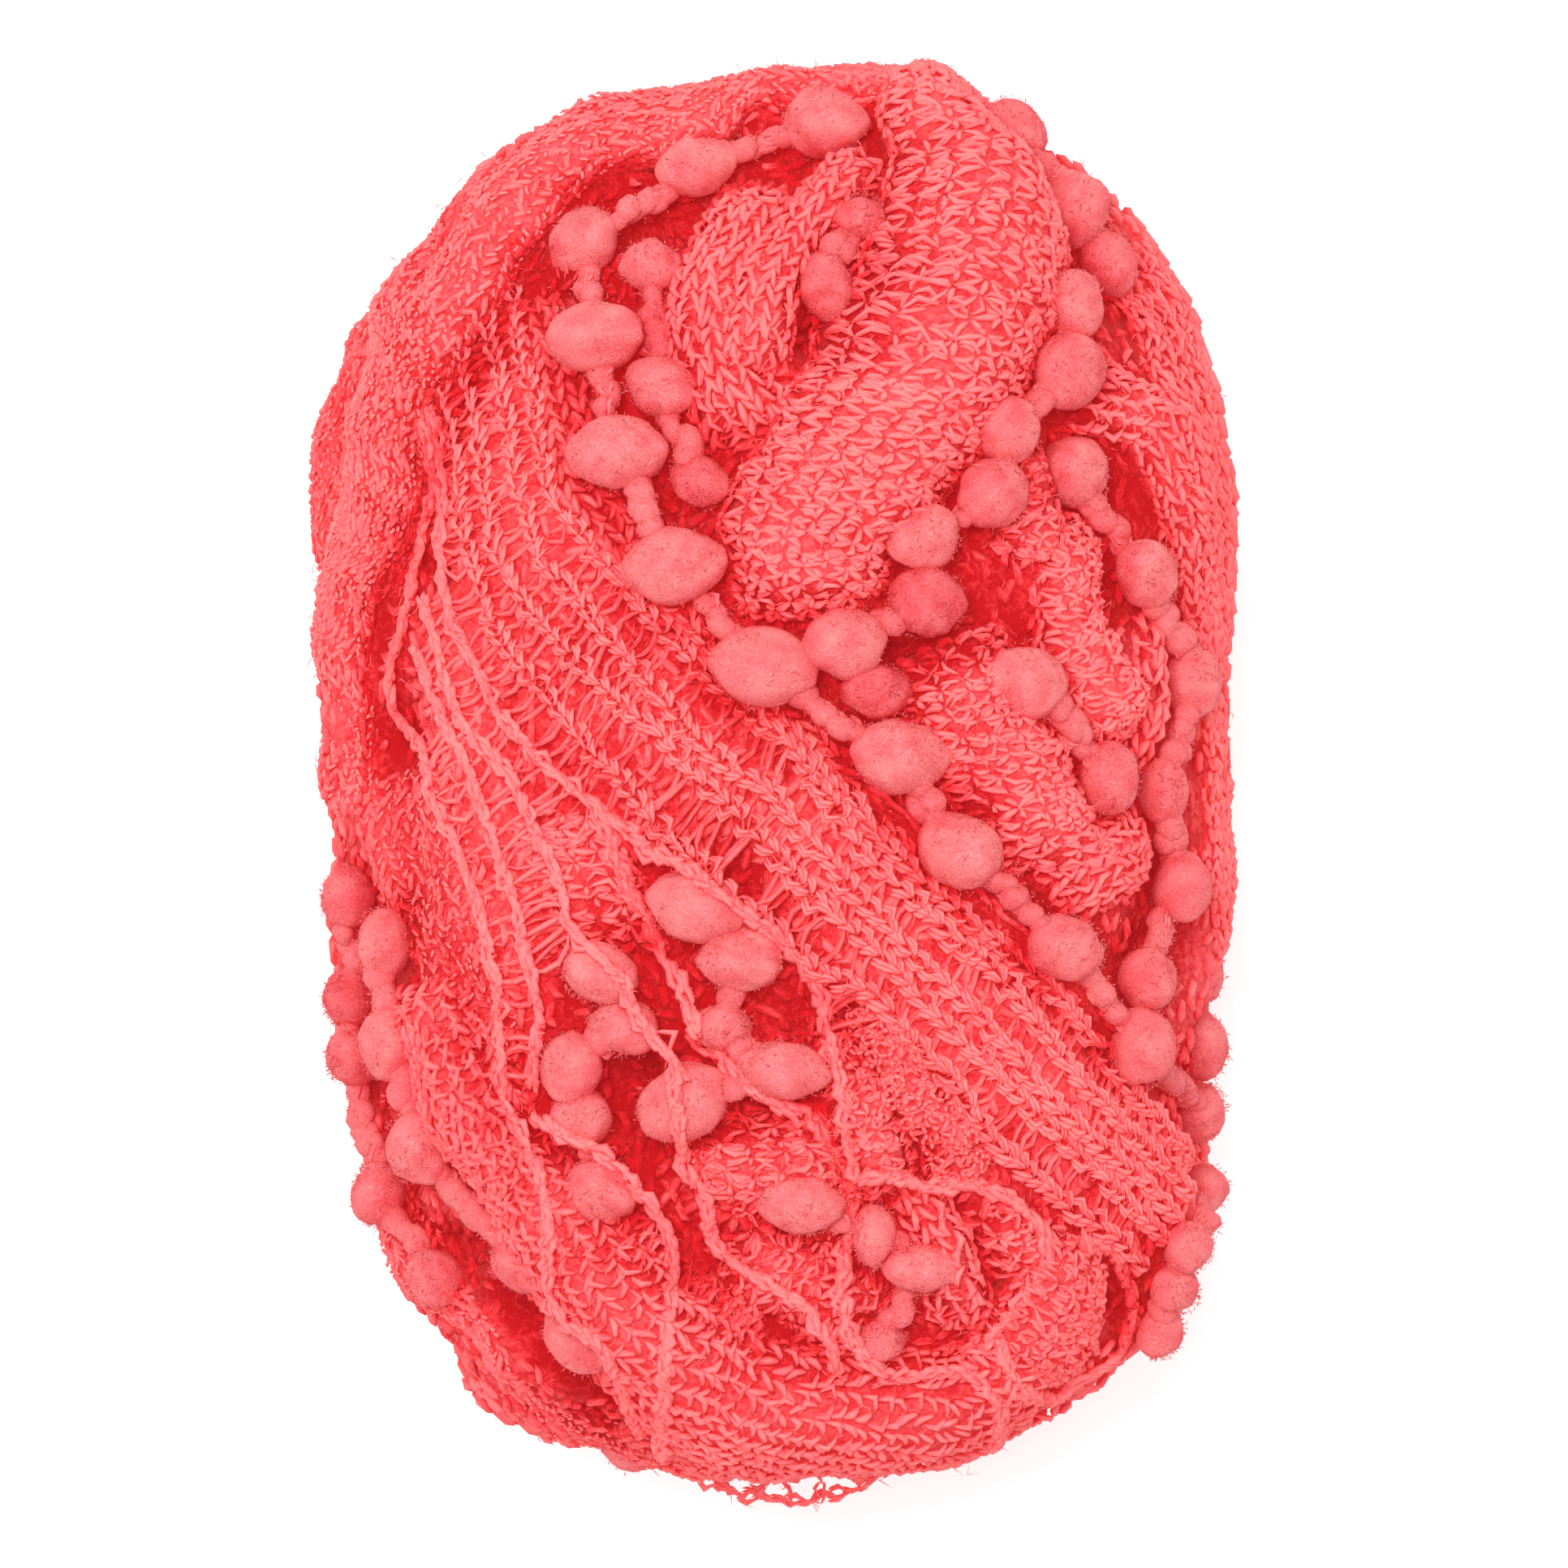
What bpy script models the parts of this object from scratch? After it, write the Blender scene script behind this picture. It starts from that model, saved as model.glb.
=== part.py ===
"""A ball of knitted ladder ribbon edged with pompoms, lying on its side.

The ball's long axis is Y and Z is up. The origin is under the middle of the ball, on the
surface that it rests on. Sizes and places are in millimetres until they are turned to metres.
"""

import math

import bmesh
import bpy
import numpy as np
from mathutils import Matrix, Vector
from mathutils.bvhtree import BVHTree

MM = 0.001

# Driving sizes of the wound ball
HALF_WIDTH = 53.0
TOP_END = 87.0
BOTTOM_END = 82.0
MIDDLE_HEIGHT = 43.2
RISE_ABOVE_MIDDLE = 40.0
DROP_BELOW_MIDDLE = 44.5
TOP_FULLNESS = 2.8
BOTTOM_FULLNESS = 3.3
SECTION_FULLNESS = 2.2

# The middle of the whole part, loose strip and pompoms too, from the ball's own middle
MIDDLE_X = 1.1
MIDDLE_Y = -0.5

# A route stays within this share of the half length, clear of the pole
END_SHARE = 0.985

# Folds and grooves are rounder the higher this is
CROWN_SOFTNESS = 1.5

# How finely the wound body is faceted
AROUND = 64
ALONG = 50

# The folds fade out over this height, so that the spot the ball rests on stays flat
FOLD_FADE_HEIGHT = 12.0

# The pompoms and the cord that carries them
CORD_RADIUS = 1.5
CORD_STEP = 4.5
POMPOM_LENGTH_SHARE = 0.85
BED_WIDTH = 22.0
BED_PRESS = 0.8
STRING_HEIGHT = 3.0
STRING_SIDES = 6
LEAST_GAP = 0.6
RAISE_STEP = 0.1
ROUTE_STEP = 1.5

# The ball's straight core, which the wound turns go round, reaches this far each way along Y
CORE_REACH = 46.0

# The side of the ball that a point lies on: UPPER faces up and LOWER faces the surface below
UPPER = 1
LOWER = -1

# Wound turns that stand up as folds: width, rise, then the route as x, y, side
FOLDS = {
    "upper_left_wrap": (21.0, 4.0, [
        (13.0, 84.0, UPPER), (-1.0, 82.5, UPPER), (-14.0, 77.0, UPPER), (-27.0, 69.0, UPPER),
        (-36.5, 57.5, UPPER), (-42.5, 45.0, UPPER), (-47.5, 32.0, UPPER), (-51.0, 18.0, UPPER),
        (-52.0, 4.0, UPPER), (-52.0, -8.0, UPPER)]),
    "middle_band": (20.0, 5.0, [
        (20.0, 84.0, UPPER), (24.5, 72.0, UPPER), (22.5, 57.0, UPPER), (15.5, 44.0, UPPER),
        (7.0, 32.0, UPPER), (1.0, 22.0, UPPER)]),
    "ladder_fan": (25.0, 3.4, [
        (-31.0, 50.0, UPPER), (-29.0, 40.0, UPPER), (-22.0, 27.0, UPPER), (-11.0, 12.0, UPPER),
        (2.0, -3.0, UPPER), (16.5, -18.0, UPPER), (30.0, -32.0, UPPER), (43.0, -46.0, UPPER),
        (49.0, -58.0, UPPER)]),
    "fan_left_edge": (18.0, 2.6, [
        (-38.0, 30.0, UPPER), (-38.5, 12.0, UPPER), (-34.0, -6.0, UPPER), (-29.0, -24.0, UPPER)]),
    "right_wrap": (17.0, 3.2, [
        (40.0, 70.0, UPPER), (47.0, 58.0, UPPER), (52.0, 44.0, UPPER), (53.5, 28.0, UPPER),
        (54.0, 8.0, UPPER), (54.0, -12.0, UPPER), (52.0, -30.0, UPPER)]),
    "right_inner_turn": (11.0, 3.0, [
        (38.0, 52.0, UPPER), (45.0, 44.0, UPPER), (48.0, 30.0, UPPER), (46.0, 17.0, UPPER)]),
    "crumple_left": (10.0, 4.0, [
        (0.0, 73.0, UPPER), (-6.5, 64.0, UPPER), (-7.5, 53.0, UPPER), (-4.0, 43.5, UPPER)]),
    "crumple_right": (7.0, 3.6, [
        (9.0, 74.0, UPPER), (4.0, 65.5, UPPER), (-0.5, 56.0, UPPER), (-2.0, 49.0, UPPER)]),
    "right_tuck": (13.0, 3.4, [
        (31.0, 31.0, UPPER), (33.5, 23.0, UPPER), (38.0, 14.0, UPPER), (43.0, 5.0, UPPER)]),
    "centre_tuck": (15.0, 4.0, [
        (19.5, 15.0, UPPER), (24.5, 6.5, UPPER), (30.5, -2.0, UPPER), (31.0, -10.0, UPPER)]),
    "small_tuck": (9.0, 3.0, [
        (43.0, -7.0, UPPER), (35.0, -14.5, UPPER)]),
    "lower_left_fold": (15.0, 4.0, [
        (-42.0, -32.0, UPPER), (-36.0, -44.0, UPPER), (-27.0, -55.0, UPPER), (-15.0, -66.0, UPPER),
        (0.0, -73.0, UPPER), (16.0, -73.0, UPPER)]),
    "bottom_left_wrap": (15.0, 3.6, [
        (-48.5, -40.0, UPPER), (-42.0, -57.0, UPPER), (-32.0, -69.0, UPPER), (-18.0, -77.0, UPPER),
        (-4.0, -80.0, UPPER)]),
    "lower_middle_fold": (11.0, 3.0, [
        (9.5, -38.0, UPPER), (20.0, -47.0, UPPER), (24.0, -60.0, UPPER)]),
    "lower_right_lump": (19.0, 3.0, [
        (31.0, -58.0, UPPER), (30.0, -68.0, UPPER)]),
    "left_side_turn": (17.0, 3.0, [
        (-52.0, -8.0, UPPER), (-51.0, -24.0, LOWER), (-40.0, -44.0, LOWER), (-18.0, -60.0, LOWER),
        (8.0, -68.0, LOWER)]),
    "fan_under": (24.0, 3.0, [
        (49.0, -58.0, UPPER), (44.0, -60.0, LOWER), (32.0, -48.0, LOWER), (12.0, -26.0, LOWER),
        (-10.0, -2.0, LOWER), (-32.0, 22.0, LOWER), (-46.0, 44.0, LOWER), (-45.0, 54.0, UPPER)]),
    "top_end_turn": (19.0, 3.2, [
        (20.0, 84.0, UPPER), (8.0, 86.0, LOWER), (-14.0, 78.0, LOWER), (-36.0, 60.0, LOWER),
        (-49.0, 34.0, LOWER), (-52.0, 10.0, LOWER), (-51.0, -14.0, LOWER)]),
    "bottom_end_turn": (18.0, 3.0, [
        (52.0, -30.0, UPPER), (50.0, -44.0, LOWER), (38.0, -62.0, LOWER), (14.0, -75.0, LOWER),
        (-14.0, -72.0, LOWER), (-38.0, -54.0, LOWER), (-51.0, -32.0, LOWER)]),
    "right_side_turn": (19.0, 3.2, [
        (42.0, 66.0, LOWER), (51.0, 44.0, LOWER), (52.0, 18.0, LOWER), (50.0, -12.0, LOWER),
        (46.0, -38.0, LOWER)]),
    "cross_under": (20.0, 2.6, [
        (36.0, 66.0, LOWER), (26.0, 42.0, LOWER), (6.0, 14.0, LOWER), (-18.0, -14.0, LOWER),
        (-40.0, -40.0, LOWER)]),
}

# Grooves between the turns: width, depth, then the route
GROOVES = {
    "left_groove": (13.0, 4.0, [
        (-36.0, 50.0, UPPER), (-43.0, 36.0, UPPER), (-45.5, 22.0, UPPER), (-46.5, 8.0, UPPER),
        (-43.5, -6.0, UPPER), (-40.0, -20.0, UPPER), (-37.0, -34.0, UPPER)]),
    "lower_left_groove": (12.0, 5.0, [
        (-40.0, -50.0, UPPER), (-33.0, -62.0, UPPER), (-25.0, -71.0, UPPER), (-15.0, -77.0, UPPER)]),
    "upper_groove": (12.0, 4.5, [
        (4.0, 77.0, UPPER), (-7.0, 72.0, UPPER), (-16.0, 66.0, UPPER), (-17.0, 56.0, UPPER)]),
    "centre_pit": (9.0, 4.5, [
        (6.5, 64.0, UPPER), (5.5, 55.0, UPPER)]),
    "net_pit": (15.0, 5.0, [
        (-14.0, -32.0, UPPER), (-17.0, -42.0, UPPER)]),
    "net_pit_low": (12.0, 4.0, [
        (4.0, -60.0, UPPER), (14.0, -64.0, UPPER)]),
    "right_pit": (9.0, 4.0, [
        (46.0, -16.0, UPPER), (48.0, -23.0, UPPER)]),
}

# Broad swellings of the whole ball: x, y, side, reach, height
SWELLS = [
    (44.0, -64.0, UPPER, 26.0, 5.0),
    (42.0, -64.0, LOWER, 26.0, 3.0),
    (-53.0, 38.0, UPPER, 30.0, 3.0),
    (52.0, 44.0, UPPER, 26.0, 2.4),
    (-34.0, -76.0, UPPER, 16.0, 2.0),
]

# Each string of pompoms: how deep its bed is, then x, y, side and radius of every pompom
STRINGS = {
    "long_edge_string": (3.0, [
        (6.0, 79.0, UPPER, 4.6), (-9.5, 74.0, UPPER, 4.3), (-23.0, 65.0, UPPER, 4.2),
        (-21.8, 53.5, UPPER, 5.3), (-19.0, 39.4, UPPER, 5.4), (-12.0, 26.0, UPPER, 5.4),
        (-1.5, 13.6, UPPER, 5.3), (14.5, 3.4, UPPER, 5.1), (22.5, -8.3, UPPER, 5.0),
        (35.0, -20.1, UPPER, 4.5), (44.5, -32.1, UPPER, 4.3), (51.5, -40.6, UPPER, 4.0)]),
    "inner_left_string": (3.0, [
        (-14.5, 62.0, UPPER, 3.3), (-13.0, 48.4, UPPER, 3.6), (-9.0, 36.4, UPPER, 3.2)]),
    "centre_pair": (3.0, [
        (9.5, 67.0, UPPER, 2.8), (5.6, 59.4, UPPER, 3.4)]),
    "right_rim_string": (4.0, [
        (28.5, 78.5, UPPER, 4.2), (36.5, 70.0, UPPER, 4.5), (41.0, 62.5, UPPER, 3.4)]),
    "band_edge_string": (3.0, [
        (35.6, 57.6, UPPER, 4.0), (35.4, 49.6, UPPER, 4.5), (28.0, 42.6, UPPER, 4.1),
        (26.2, 34.6, UPPER, 4.4), (17.8, 29.4, UPPER, 4.2), (18.2, 21.6, UPPER, 4.4),
        (8.4, 18.4, UPPER, 4.2), (11.6, 12.8, UPPER, 2.8)]),
    "right_hanging_string": (3.5, [
        (36.4, 37.8, UPPER, 4.3), (45.2, 25.4, UPPER, 4.0), (51.0, 12.2, UPPER, 4.2),
        (47.0, -1.0, UPPER, 3.3), (49.5, -12.6, UPPER, 4.2), (46.0, -22.6, UPPER, 3.7)]),
    "tuck_string": (3.0, [
        (30.2, 12.2, UPPER, 4.7), (40.2, 0.6, UPPER, 3.3)]),
    "right_edge_string": (6.0, [
        (50.5, -22.0, LOWER, 3.6), (52.5, -33.5, LOWER, 4.0)]),
    "lower_right_string": (4.0, [
        (54.0, -50.5, UPPER, 3.6), (53.0, -57.4, UPPER, 3.4), (50.5, -63.6, UPPER, 3.6),
        (46.0, -69.6, UPPER, 3.8)]),
    "net_left_string": (3.0, [
        (-21.0, -22.6, UPPER, 4.2), (-18.2, -29.6, UPPER, 3.8), (-24.5, -34.6, UPPER, 3.7),
        (-23.2, -41.0, UPPER, 3.6), (-20.6, -49.6, UPPER, 4.1)]),
    "net_middle_string": (3.0, [
        (-9.5, -14.6, UPPER, 4.5), (-4.2, -21.6, UPPER, 4.2), (1.5, -34.4, UPPER, 4.6),
        (-11.0, -38.6, UPPER, 4.8)]),
    "net_low_string": (3.0, [
        (3.2, -50.6, UPPER, 4.5), (11.8, -54.8, UPPER, 3.4), (18.2, -58.6, UPPER, 4.2),
        (12.5, -67.6, UPPER, 3.6)]),
    "lower_left_string": (3.5, [
        (-47.5, -19.6, UPPER, 3.8), (-47.0, -31.8, UPPER, 4.2), (-43.0, -44.0, UPPER, 4.3),
        (-30.8, -58.0, UPPER, 4.2), (-23.5, -67.2, UPPER, 4.4)]),
    "left_rim_string": (6.0, [
        (-52.0, -14.0, UPPER, 3.8), (-52.0, -25.6, UPPER, 4.0), (-50.5, -36.0, UPPER, 3.6),
        (-48.0, -50.0, UPPER, 4.0), (-41.5, -60.5, UPPER, 3.7)]),
    "bottom_rim_string": (4.5, [
        (-31.0, -74.0, LOWER, 3.5), (-18.0, -81.0, LOWER, 3.7)]),
    "left_side_string": (4.5, [
        (-44.0, 52.0, LOWER, 4.1), (-49.0, 40.0, LOWER, 4.2), (-50.0, 26.0, LOWER, 4.0),
        (-48.0, 12.0, LOWER, 4.2), (-50.0, -2.0, LOWER, 4.0)]),
    "right_side_string": (4.5, [
        (45.0, 54.0, LOWER, 4.2), (49.5, 40.5, LOWER, 4.0), (49.0, 25.5, LOWER, 4.3),
        (50.5, 11.0, LOWER, 4.0), (48.5, -4.0, LOWER, 4.2)]),
    "top_end_string": (4.5, [
        (-25.0, 76.0, LOWER, 4.0), (-11.0, 82.0, LOWER, 4.2), (4.0, 84.5, LOWER, 4.0),
        (19.0, 80.5, LOWER, 4.2)]),
    "bottom_end_string": (4.5, [
        (27.0, -74.5, LOWER, 4.0), (13.0, -79.0, LOWER, 4.2), (-1.0, -78.0, LOWER, 4.0)]),
}

# A pompom's outline along its cord: share of its half length, share of its radius
POMPOM_OUTLINE = [(-1.0, 0.45), (-0.6, 0.87), (0.0, 1.0), (0.6, 0.87), (1.0, 0.45)]

# The loose ladder strip that hangs off the bottom end: each strand's radius and its x, y, z
LOOP_STRANDS = {
    "outer_edge": (1.1, [
        (-12.5, -84.2, 47.0), (-8.0, -86.0, 45.0), (-3.5, -88.0, 43.0), (2.5, -89.2, 41.5),
        (8.0, -88.2, 41.5), (12.0, -85.8, 43.0), (14.5, -84.0, 45.0)]),
    "inner_edge": (0.9, [
        (-4.5, -88.0, 43.2), (-1.0, -85.6, 44.0), (4.0, -84.9, 44.0), (9.0, -85.2, 43.8),
        (12.6, -85.6, 43.2)]),
    "first_rung": (0.7, [(1.4, -84.8, 44.0), (1.8, -89.2, 41.6)]),
    "second_rung": (0.7, [(5.4, -84.8, 44.0), (5.8, -89.0, 41.4)]),
}

# Coral yarn, pale on the felted pompoms
KNIT_COLOUR = (0.90, 0.115, 0.115, 1.0)
FELT_COLOUR = (0.97, 0.20, 0.21, 1.0)
YARN_ROUGHNESS = 0.9

CENTRE = np.array([0.0, 0.0, MIDDLE_HEIGHT])


def onto_ball(points, lift=0.0):
    """Moves points in or out from the ball's middle, onto its smooth form or a larger one."""
    away = np.atleast_2d(points) - CENTRE
    towards_top = away[:, 1] > 0.0
    ends = np.where(towards_top, TOP_END, BOTTOM_END) + lift
    fullness = np.where(towards_top, TOP_FULLNESS, BOTTOM_FULLNESS)
    heights = np.where(away[:, 2] > 0.0, RISE_ABOVE_MIDDLE, DROP_BELOW_MIDDLE) + lift
    across = np.abs(away[:, 0]) / (HALF_WIDTH + lift)
    upright = np.abs(away[:, 2]) / heights
    section = across**SECTION_FULLNESS + upright**SECTION_FULLNESS
    whole = section ** (fullness / SECTION_FULLNESS) + (np.abs(away[:, 1]) / ends) ** fullness
    return CENTRE + away / whole[:, None] ** (1.0 / fullness[:, None])


def ball_point(x, y, side, lift=0.0):
    """The point straight above or below x, y on the smooth ball, or at its rim if x is wider."""
    end = (TOP_END if y > 0.0 else BOTTOM_END) + lift
    fullness = TOP_FULLNESS if y > 0.0 else BOTTOM_FULLNESS
    height = (RISE_ABOVE_MIDDLE if side == UPPER else DROP_BELOW_MIDDLE) + lift
    y = min(max(y, -END_SHARE * end), END_SHARE * end)
    girth = (1.0 - abs(y / end) ** fullness) ** (1.0 / fullness)
    half_width = (HALF_WIDTH + lift) * girth
    x = min(max(x, -half_width), half_width)
    depth = (1.0 - abs(x / half_width) ** SECTION_FULLNESS) ** (1.0 / SECTION_FULLNESS)
    return np.array([x, y, MIDDLE_HEIGHT + side * height * girth * depth])


def smooth_curve(points, step):
    """Points about one step apart along a Catmull-Rom curve through the given ones."""
    points = np.asarray(points, float)
    ends = np.vstack([2 * points[0] - points[1], points, 2 * points[-1] - points[-2]])
    found = []
    for before, here, there, after in zip(ends, ends[1:], ends[2:], ends[3:]):
        count = max(2, round(float(np.linalg.norm(there - here)) / step))
        for share in np.arange(count) / count:
            found.append(0.5 * (
                2 * here + (there - before) * share
                + (2 * before - 5 * here + 4 * there - after) * share**2
                + (3 * here - before - 3 * there + after) * share**3))
    found.append(points[-1])
    return np.array(found)


def route_on_ball(rows, lift=0.0):
    """The smooth route over the ball through rows of x, y and side."""
    return onto_ball(smooth_curve([ball_point(*row[:3], lift) for row in rows], ROUTE_STEP), lift)


def nearest(points, route):
    """Each point's distance from a route."""
    return np.linalg.norm(points[:, None, :] - route[None, :, :], axis=2).min(axis=1)


def crown(points, route, width):
    """1 on the route, falling as a soft crown to 0 at half the width from it."""
    share = np.minimum(1.0, nearest(points, route) / (width / 2))
    return (1.0 - share**2) ** CROWN_SOFTNESS


def relief(points):
    """How far the folds, grooves and beds move each point of the smooth ball out or in."""
    raised = np.zeros(len(points))
    for width, rise, rows in FOLDS.values():
        raised = np.maximum(raised, rise * crown(points, route_on_ball(rows), width))
    for x, y, side, reach, height in SWELLS:
        raised += height * crown(points, ball_point(x, y, side)[None, :], 2 * reach)
    sunk = np.zeros(len(points))
    for width, depth, rows in GROOVES.values():
        sunk = np.maximum(sunk, depth * crown(points, route_on_ball(rows), width))
    pressed = np.zeros(len(points))
    for depth, rows in STRINGS.values():
        bed = crown(points, route_on_ball(rows), BED_WIDTH)
        pressed = np.maximum(pressed, bed)
        sunk = np.maximum(sunk, depth * bed)
    fade = np.clip(points[:, 2] / FOLD_FADE_HEIGHT, 0.0, 1.0)
    return (raised * (1.0 - pressed * BED_PRESS) - sunk) * fade**2 * (3 - 2 * fade)


def yarn_material(name, colour):
    material = bpy.data.materials.new(name)
    material.use_nodes = True
    shader = material.node_tree.nodes["Principled BSDF"]
    shader.inputs["Base Color"].default_value = colour
    shader.inputs["Roughness"].default_value = YARN_ROUGHNESS
    shader.inputs["Metallic"].default_value = 0.0
    return material


def add_object(name, data, material, collection):
    obj = bpy.data.objects.new(name, data)
    obj.data.materials.append(material)
    collection.objects.link(obj)
    return obj


def make_ball(material, collection):
    """The wound body: a sphere drawn out to the ball's form, then folded, with a flat spot."""
    shape = bmesh.new()
    bmesh.ops.create_uvsphere(
        shape, u_segments=AROUND, v_segments=ALONG, radius=1.0,
        matrix=Matrix.Rotation(-math.pi / 2, 4, "X"))
    drawn_out = np.array([HALF_WIDTH, TOP_END, RISE_ABOVE_MIDDLE])
    start = np.array([vert.co for vert in shape.verts])
    smooth = onto_ball(CENTRE + start * drawn_out)
    for vert, place in zip(shape.verts, smooth):
        vert.co = place
    shape.normal_update()
    normals = np.array([vert.normal for vert in shape.verts])
    folded = smooth + normals * relief(smooth)[:, None]
    folded[:, 2] = np.maximum(folded[:, 2], 0.0)
    for vert, place in zip(shape.verts, folded):
        vert.co = place
    upper = [vert for vert in shape.verts if vert.co.z > FOLD_FADE_HEIGHT / 2]
    bmesh.ops.smooth_vert(
        shape, verts=upper, factor=0.5, use_axis_x=True, use_axis_y=True, use_axis_z=True)
    tree = BVHTree.FromBMesh(shape)
    bmesh.ops.scale(shape, vec=(MM, MM, MM), verts=shape.verts)
    data = bpy.data.meshes.new("wound_ball")
    shape.to_mesh(data)
    shape.free()
    data.shade_smooth()
    add_object("wound_ball", data, material, collection)
    return tree


def core_point(point):
    """The point of the ball's straight core that lies level with a point."""
    return Vector((0.0, min(max(point[1], -CORE_REACH), CORE_REACH), MIDDLE_HEIGHT))


def raise_clear(tree, places, radii):
    """Moves places out together from the ball's core until each clears the ball by its radius."""
    middle = places[len(places) // 2]
    outward = (middle - core_point(middle)).normalized()
    foot = tree.ray_cast(core_point(middle), outward)[0]
    moved = outward * ((foot - middle).dot(outward) + radii[len(radii) // 2])
    while any(tree.find_nearest(place + moved)[3] < radius + LEAST_GAP
              for place, radius in zip(places, radii)):
        moved += outward * RAISE_STEP
    return [place + moved for place in places]


def pompom_sections(tree, route, row):
    """The places and radii of one pompom's sections, along its straight axis."""
    centre = ball_point(*row[:3], STRING_HEIGHT)
    here = int(np.linalg.norm(route - centre, axis=1).argmin())
    before, after = route[max(here - 1, 0)], route[min(here + 1, len(route) - 1)]
    way = Vector(after - before).normalized()
    radius = row[3]
    half_length = radius * POMPOM_LENGTH_SHARE
    places = [Vector(centre) + way * half_length * share for share, _ in POMPOM_OUTLINE]
    radii = [radius * thickness for _, thickness in POMPOM_OUTLINE]
    return raise_clear(tree, places, radii), radii


def cord_sections(tree, start, end):
    """The places of a bare stretch of cord between two pompoms, straight but for the ball."""
    count = round((end - start).length / CORD_STEP)
    found = []
    for step in range(1, count + 1):
        place = start.lerp(end, step / (count + 1))
        if tree.find_nearest(place)[3] < CORD_RADIUS + LEAST_GAP:
            place = raise_clear(tree, [place], [CORD_RADIUS])[0]
        found.append(place)
    return found


def tube(name, places, radii, sides, material, collection):
    """A closed tube through the places, as thick as the radii say."""
    data = bpy.data.curves.new(name, "CURVE")
    data.dimensions = "3D"
    data.bevel_depth = MM
    data.bevel_resolution = sides // 2 - 2
    data.use_fill_caps = True
    spline = data.splines.new("POLY")
    spline.points.add(len(places) - 1)
    for point, place, radius in zip(spline.points, places, radii):
        point.co = (*(Vector(place) * MM), 1.0)
        point.radius = radius
    return add_object(name, data, material, collection)


def make_string(name, rows, tree, material, collection):
    """One string of pompoms on its cord, lying in its bed on the ball."""
    route = route_on_ball(rows, STRING_HEIGHT)
    places, radii = [], []
    for row in rows:
        bead, bead_radii = pompom_sections(tree, route, row)
        if places:
            cord = cord_sections(tree, places[-1], bead[0])
            places += cord
            radii += [CORD_RADIUS] * len(cord)
        places += bead
        radii += bead_radii
    tube(name, places, radii, STRING_SIDES, material, collection)


def as_mesh(obj, collection):
    """Replaces a curve object by its evaluated mesh, with the caps welded on."""
    graph = bpy.context.evaluated_depsgraph_get()
    data = bpy.data.meshes.new_from_object(obj.evaluated_get(graph))
    shape = bmesh.new()
    shape.from_mesh(data)
    bmesh.ops.remove_doubles(shape, verts=shape.verts, dist=0.01 * MM)
    bmesh.ops.recalc_face_normals(shape, faces=shape.faces)
    shape.to_mesh(data)
    shape.free()
    name, place = obj.name, obj.matrix_world.copy()
    bpy.data.objects.remove(obj)
    made = bpy.data.objects.new(name, data)
    made.matrix_world = place
    collection.objects.link(made)
    return made


def make_loop(material, collection, cutters):
    """The loose ladder strip at the bottom end: two edge strands joined by rungs."""
    strands = []
    for name, (radius, points) in LOOP_STRANDS.items():
        route = smooth_curve(points, 2 * ROUTE_STEP)
        home = collection if not strands else cutters
        strand = tube(name, route, [radius] * len(route), STRING_SIDES, material, home)
        bpy.context.view_layer.update()
        strands.append(as_mesh(strand, home))
    loop = strands[0]
    loop.name = "loose_ladder_loop"
    for strand in strands[1:]:
        strand.hide_render = True
        strand.display_type = "WIRE"
        join = loop.modifiers.new("join " + strand.name, "BOOLEAN")
        join.operation = "UNION"
        join.object = strand


def main():
    for obj in list(bpy.data.objects):
        bpy.data.objects.remove(obj, do_unlink=True)
    collection = bpy.data.collections.new("pompom yarn ball")
    cutters = bpy.data.collections.new("cutters")
    for made in (collection, cutters):
        bpy.context.scene.collection.children.link(made)
    knit = yarn_material("coral knitted yarn", KNIT_COLOUR)
    felt = yarn_material("coral felted pompom", FELT_COLOUR)
    tree = make_ball(knit, collection)
    for name, (_, rows) in STRINGS.items():
        make_string(name, rows, tree, felt, collection)
    make_loop(knit, collection, cutters)
    middle = bpy.data.objects.new("middle of the whole part", None)
    middle.location = (-MIDDLE_X * MM, -MIDDLE_Y * MM, 0.0)
    collection.objects.link(middle)
    for obj in [*collection.objects, *cutters.objects]:
        if obj is not middle:
            obj.parent = middle


main()
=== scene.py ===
"""The looks of a wound ball of coral ladder yarn edged with felted pompoms.

Sizes and places are in millimetres until a finished mesh is turned to metres. Tables give x
and y from the ball's own middle, as in the photograph, with x to the right and y up.
"""

import math

import bmesh
import bpy
import numpy as np
from mathutils import Matrix, Vector
from mathutils.bvhtree import BVHTree


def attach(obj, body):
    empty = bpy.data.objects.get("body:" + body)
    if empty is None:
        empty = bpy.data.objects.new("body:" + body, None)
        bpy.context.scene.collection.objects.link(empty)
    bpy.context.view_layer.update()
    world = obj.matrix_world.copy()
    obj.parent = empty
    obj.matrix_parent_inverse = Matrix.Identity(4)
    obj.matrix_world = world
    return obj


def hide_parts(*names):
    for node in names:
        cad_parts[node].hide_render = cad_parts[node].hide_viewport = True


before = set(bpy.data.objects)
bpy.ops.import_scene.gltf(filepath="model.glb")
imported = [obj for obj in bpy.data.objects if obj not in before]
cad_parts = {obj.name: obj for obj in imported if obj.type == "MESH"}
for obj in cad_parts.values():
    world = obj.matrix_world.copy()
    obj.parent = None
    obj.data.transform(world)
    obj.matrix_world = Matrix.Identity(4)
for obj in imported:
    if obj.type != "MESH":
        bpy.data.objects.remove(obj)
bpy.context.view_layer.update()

MM = 0.001
RANDOM = np.random.default_rng(7)

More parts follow.
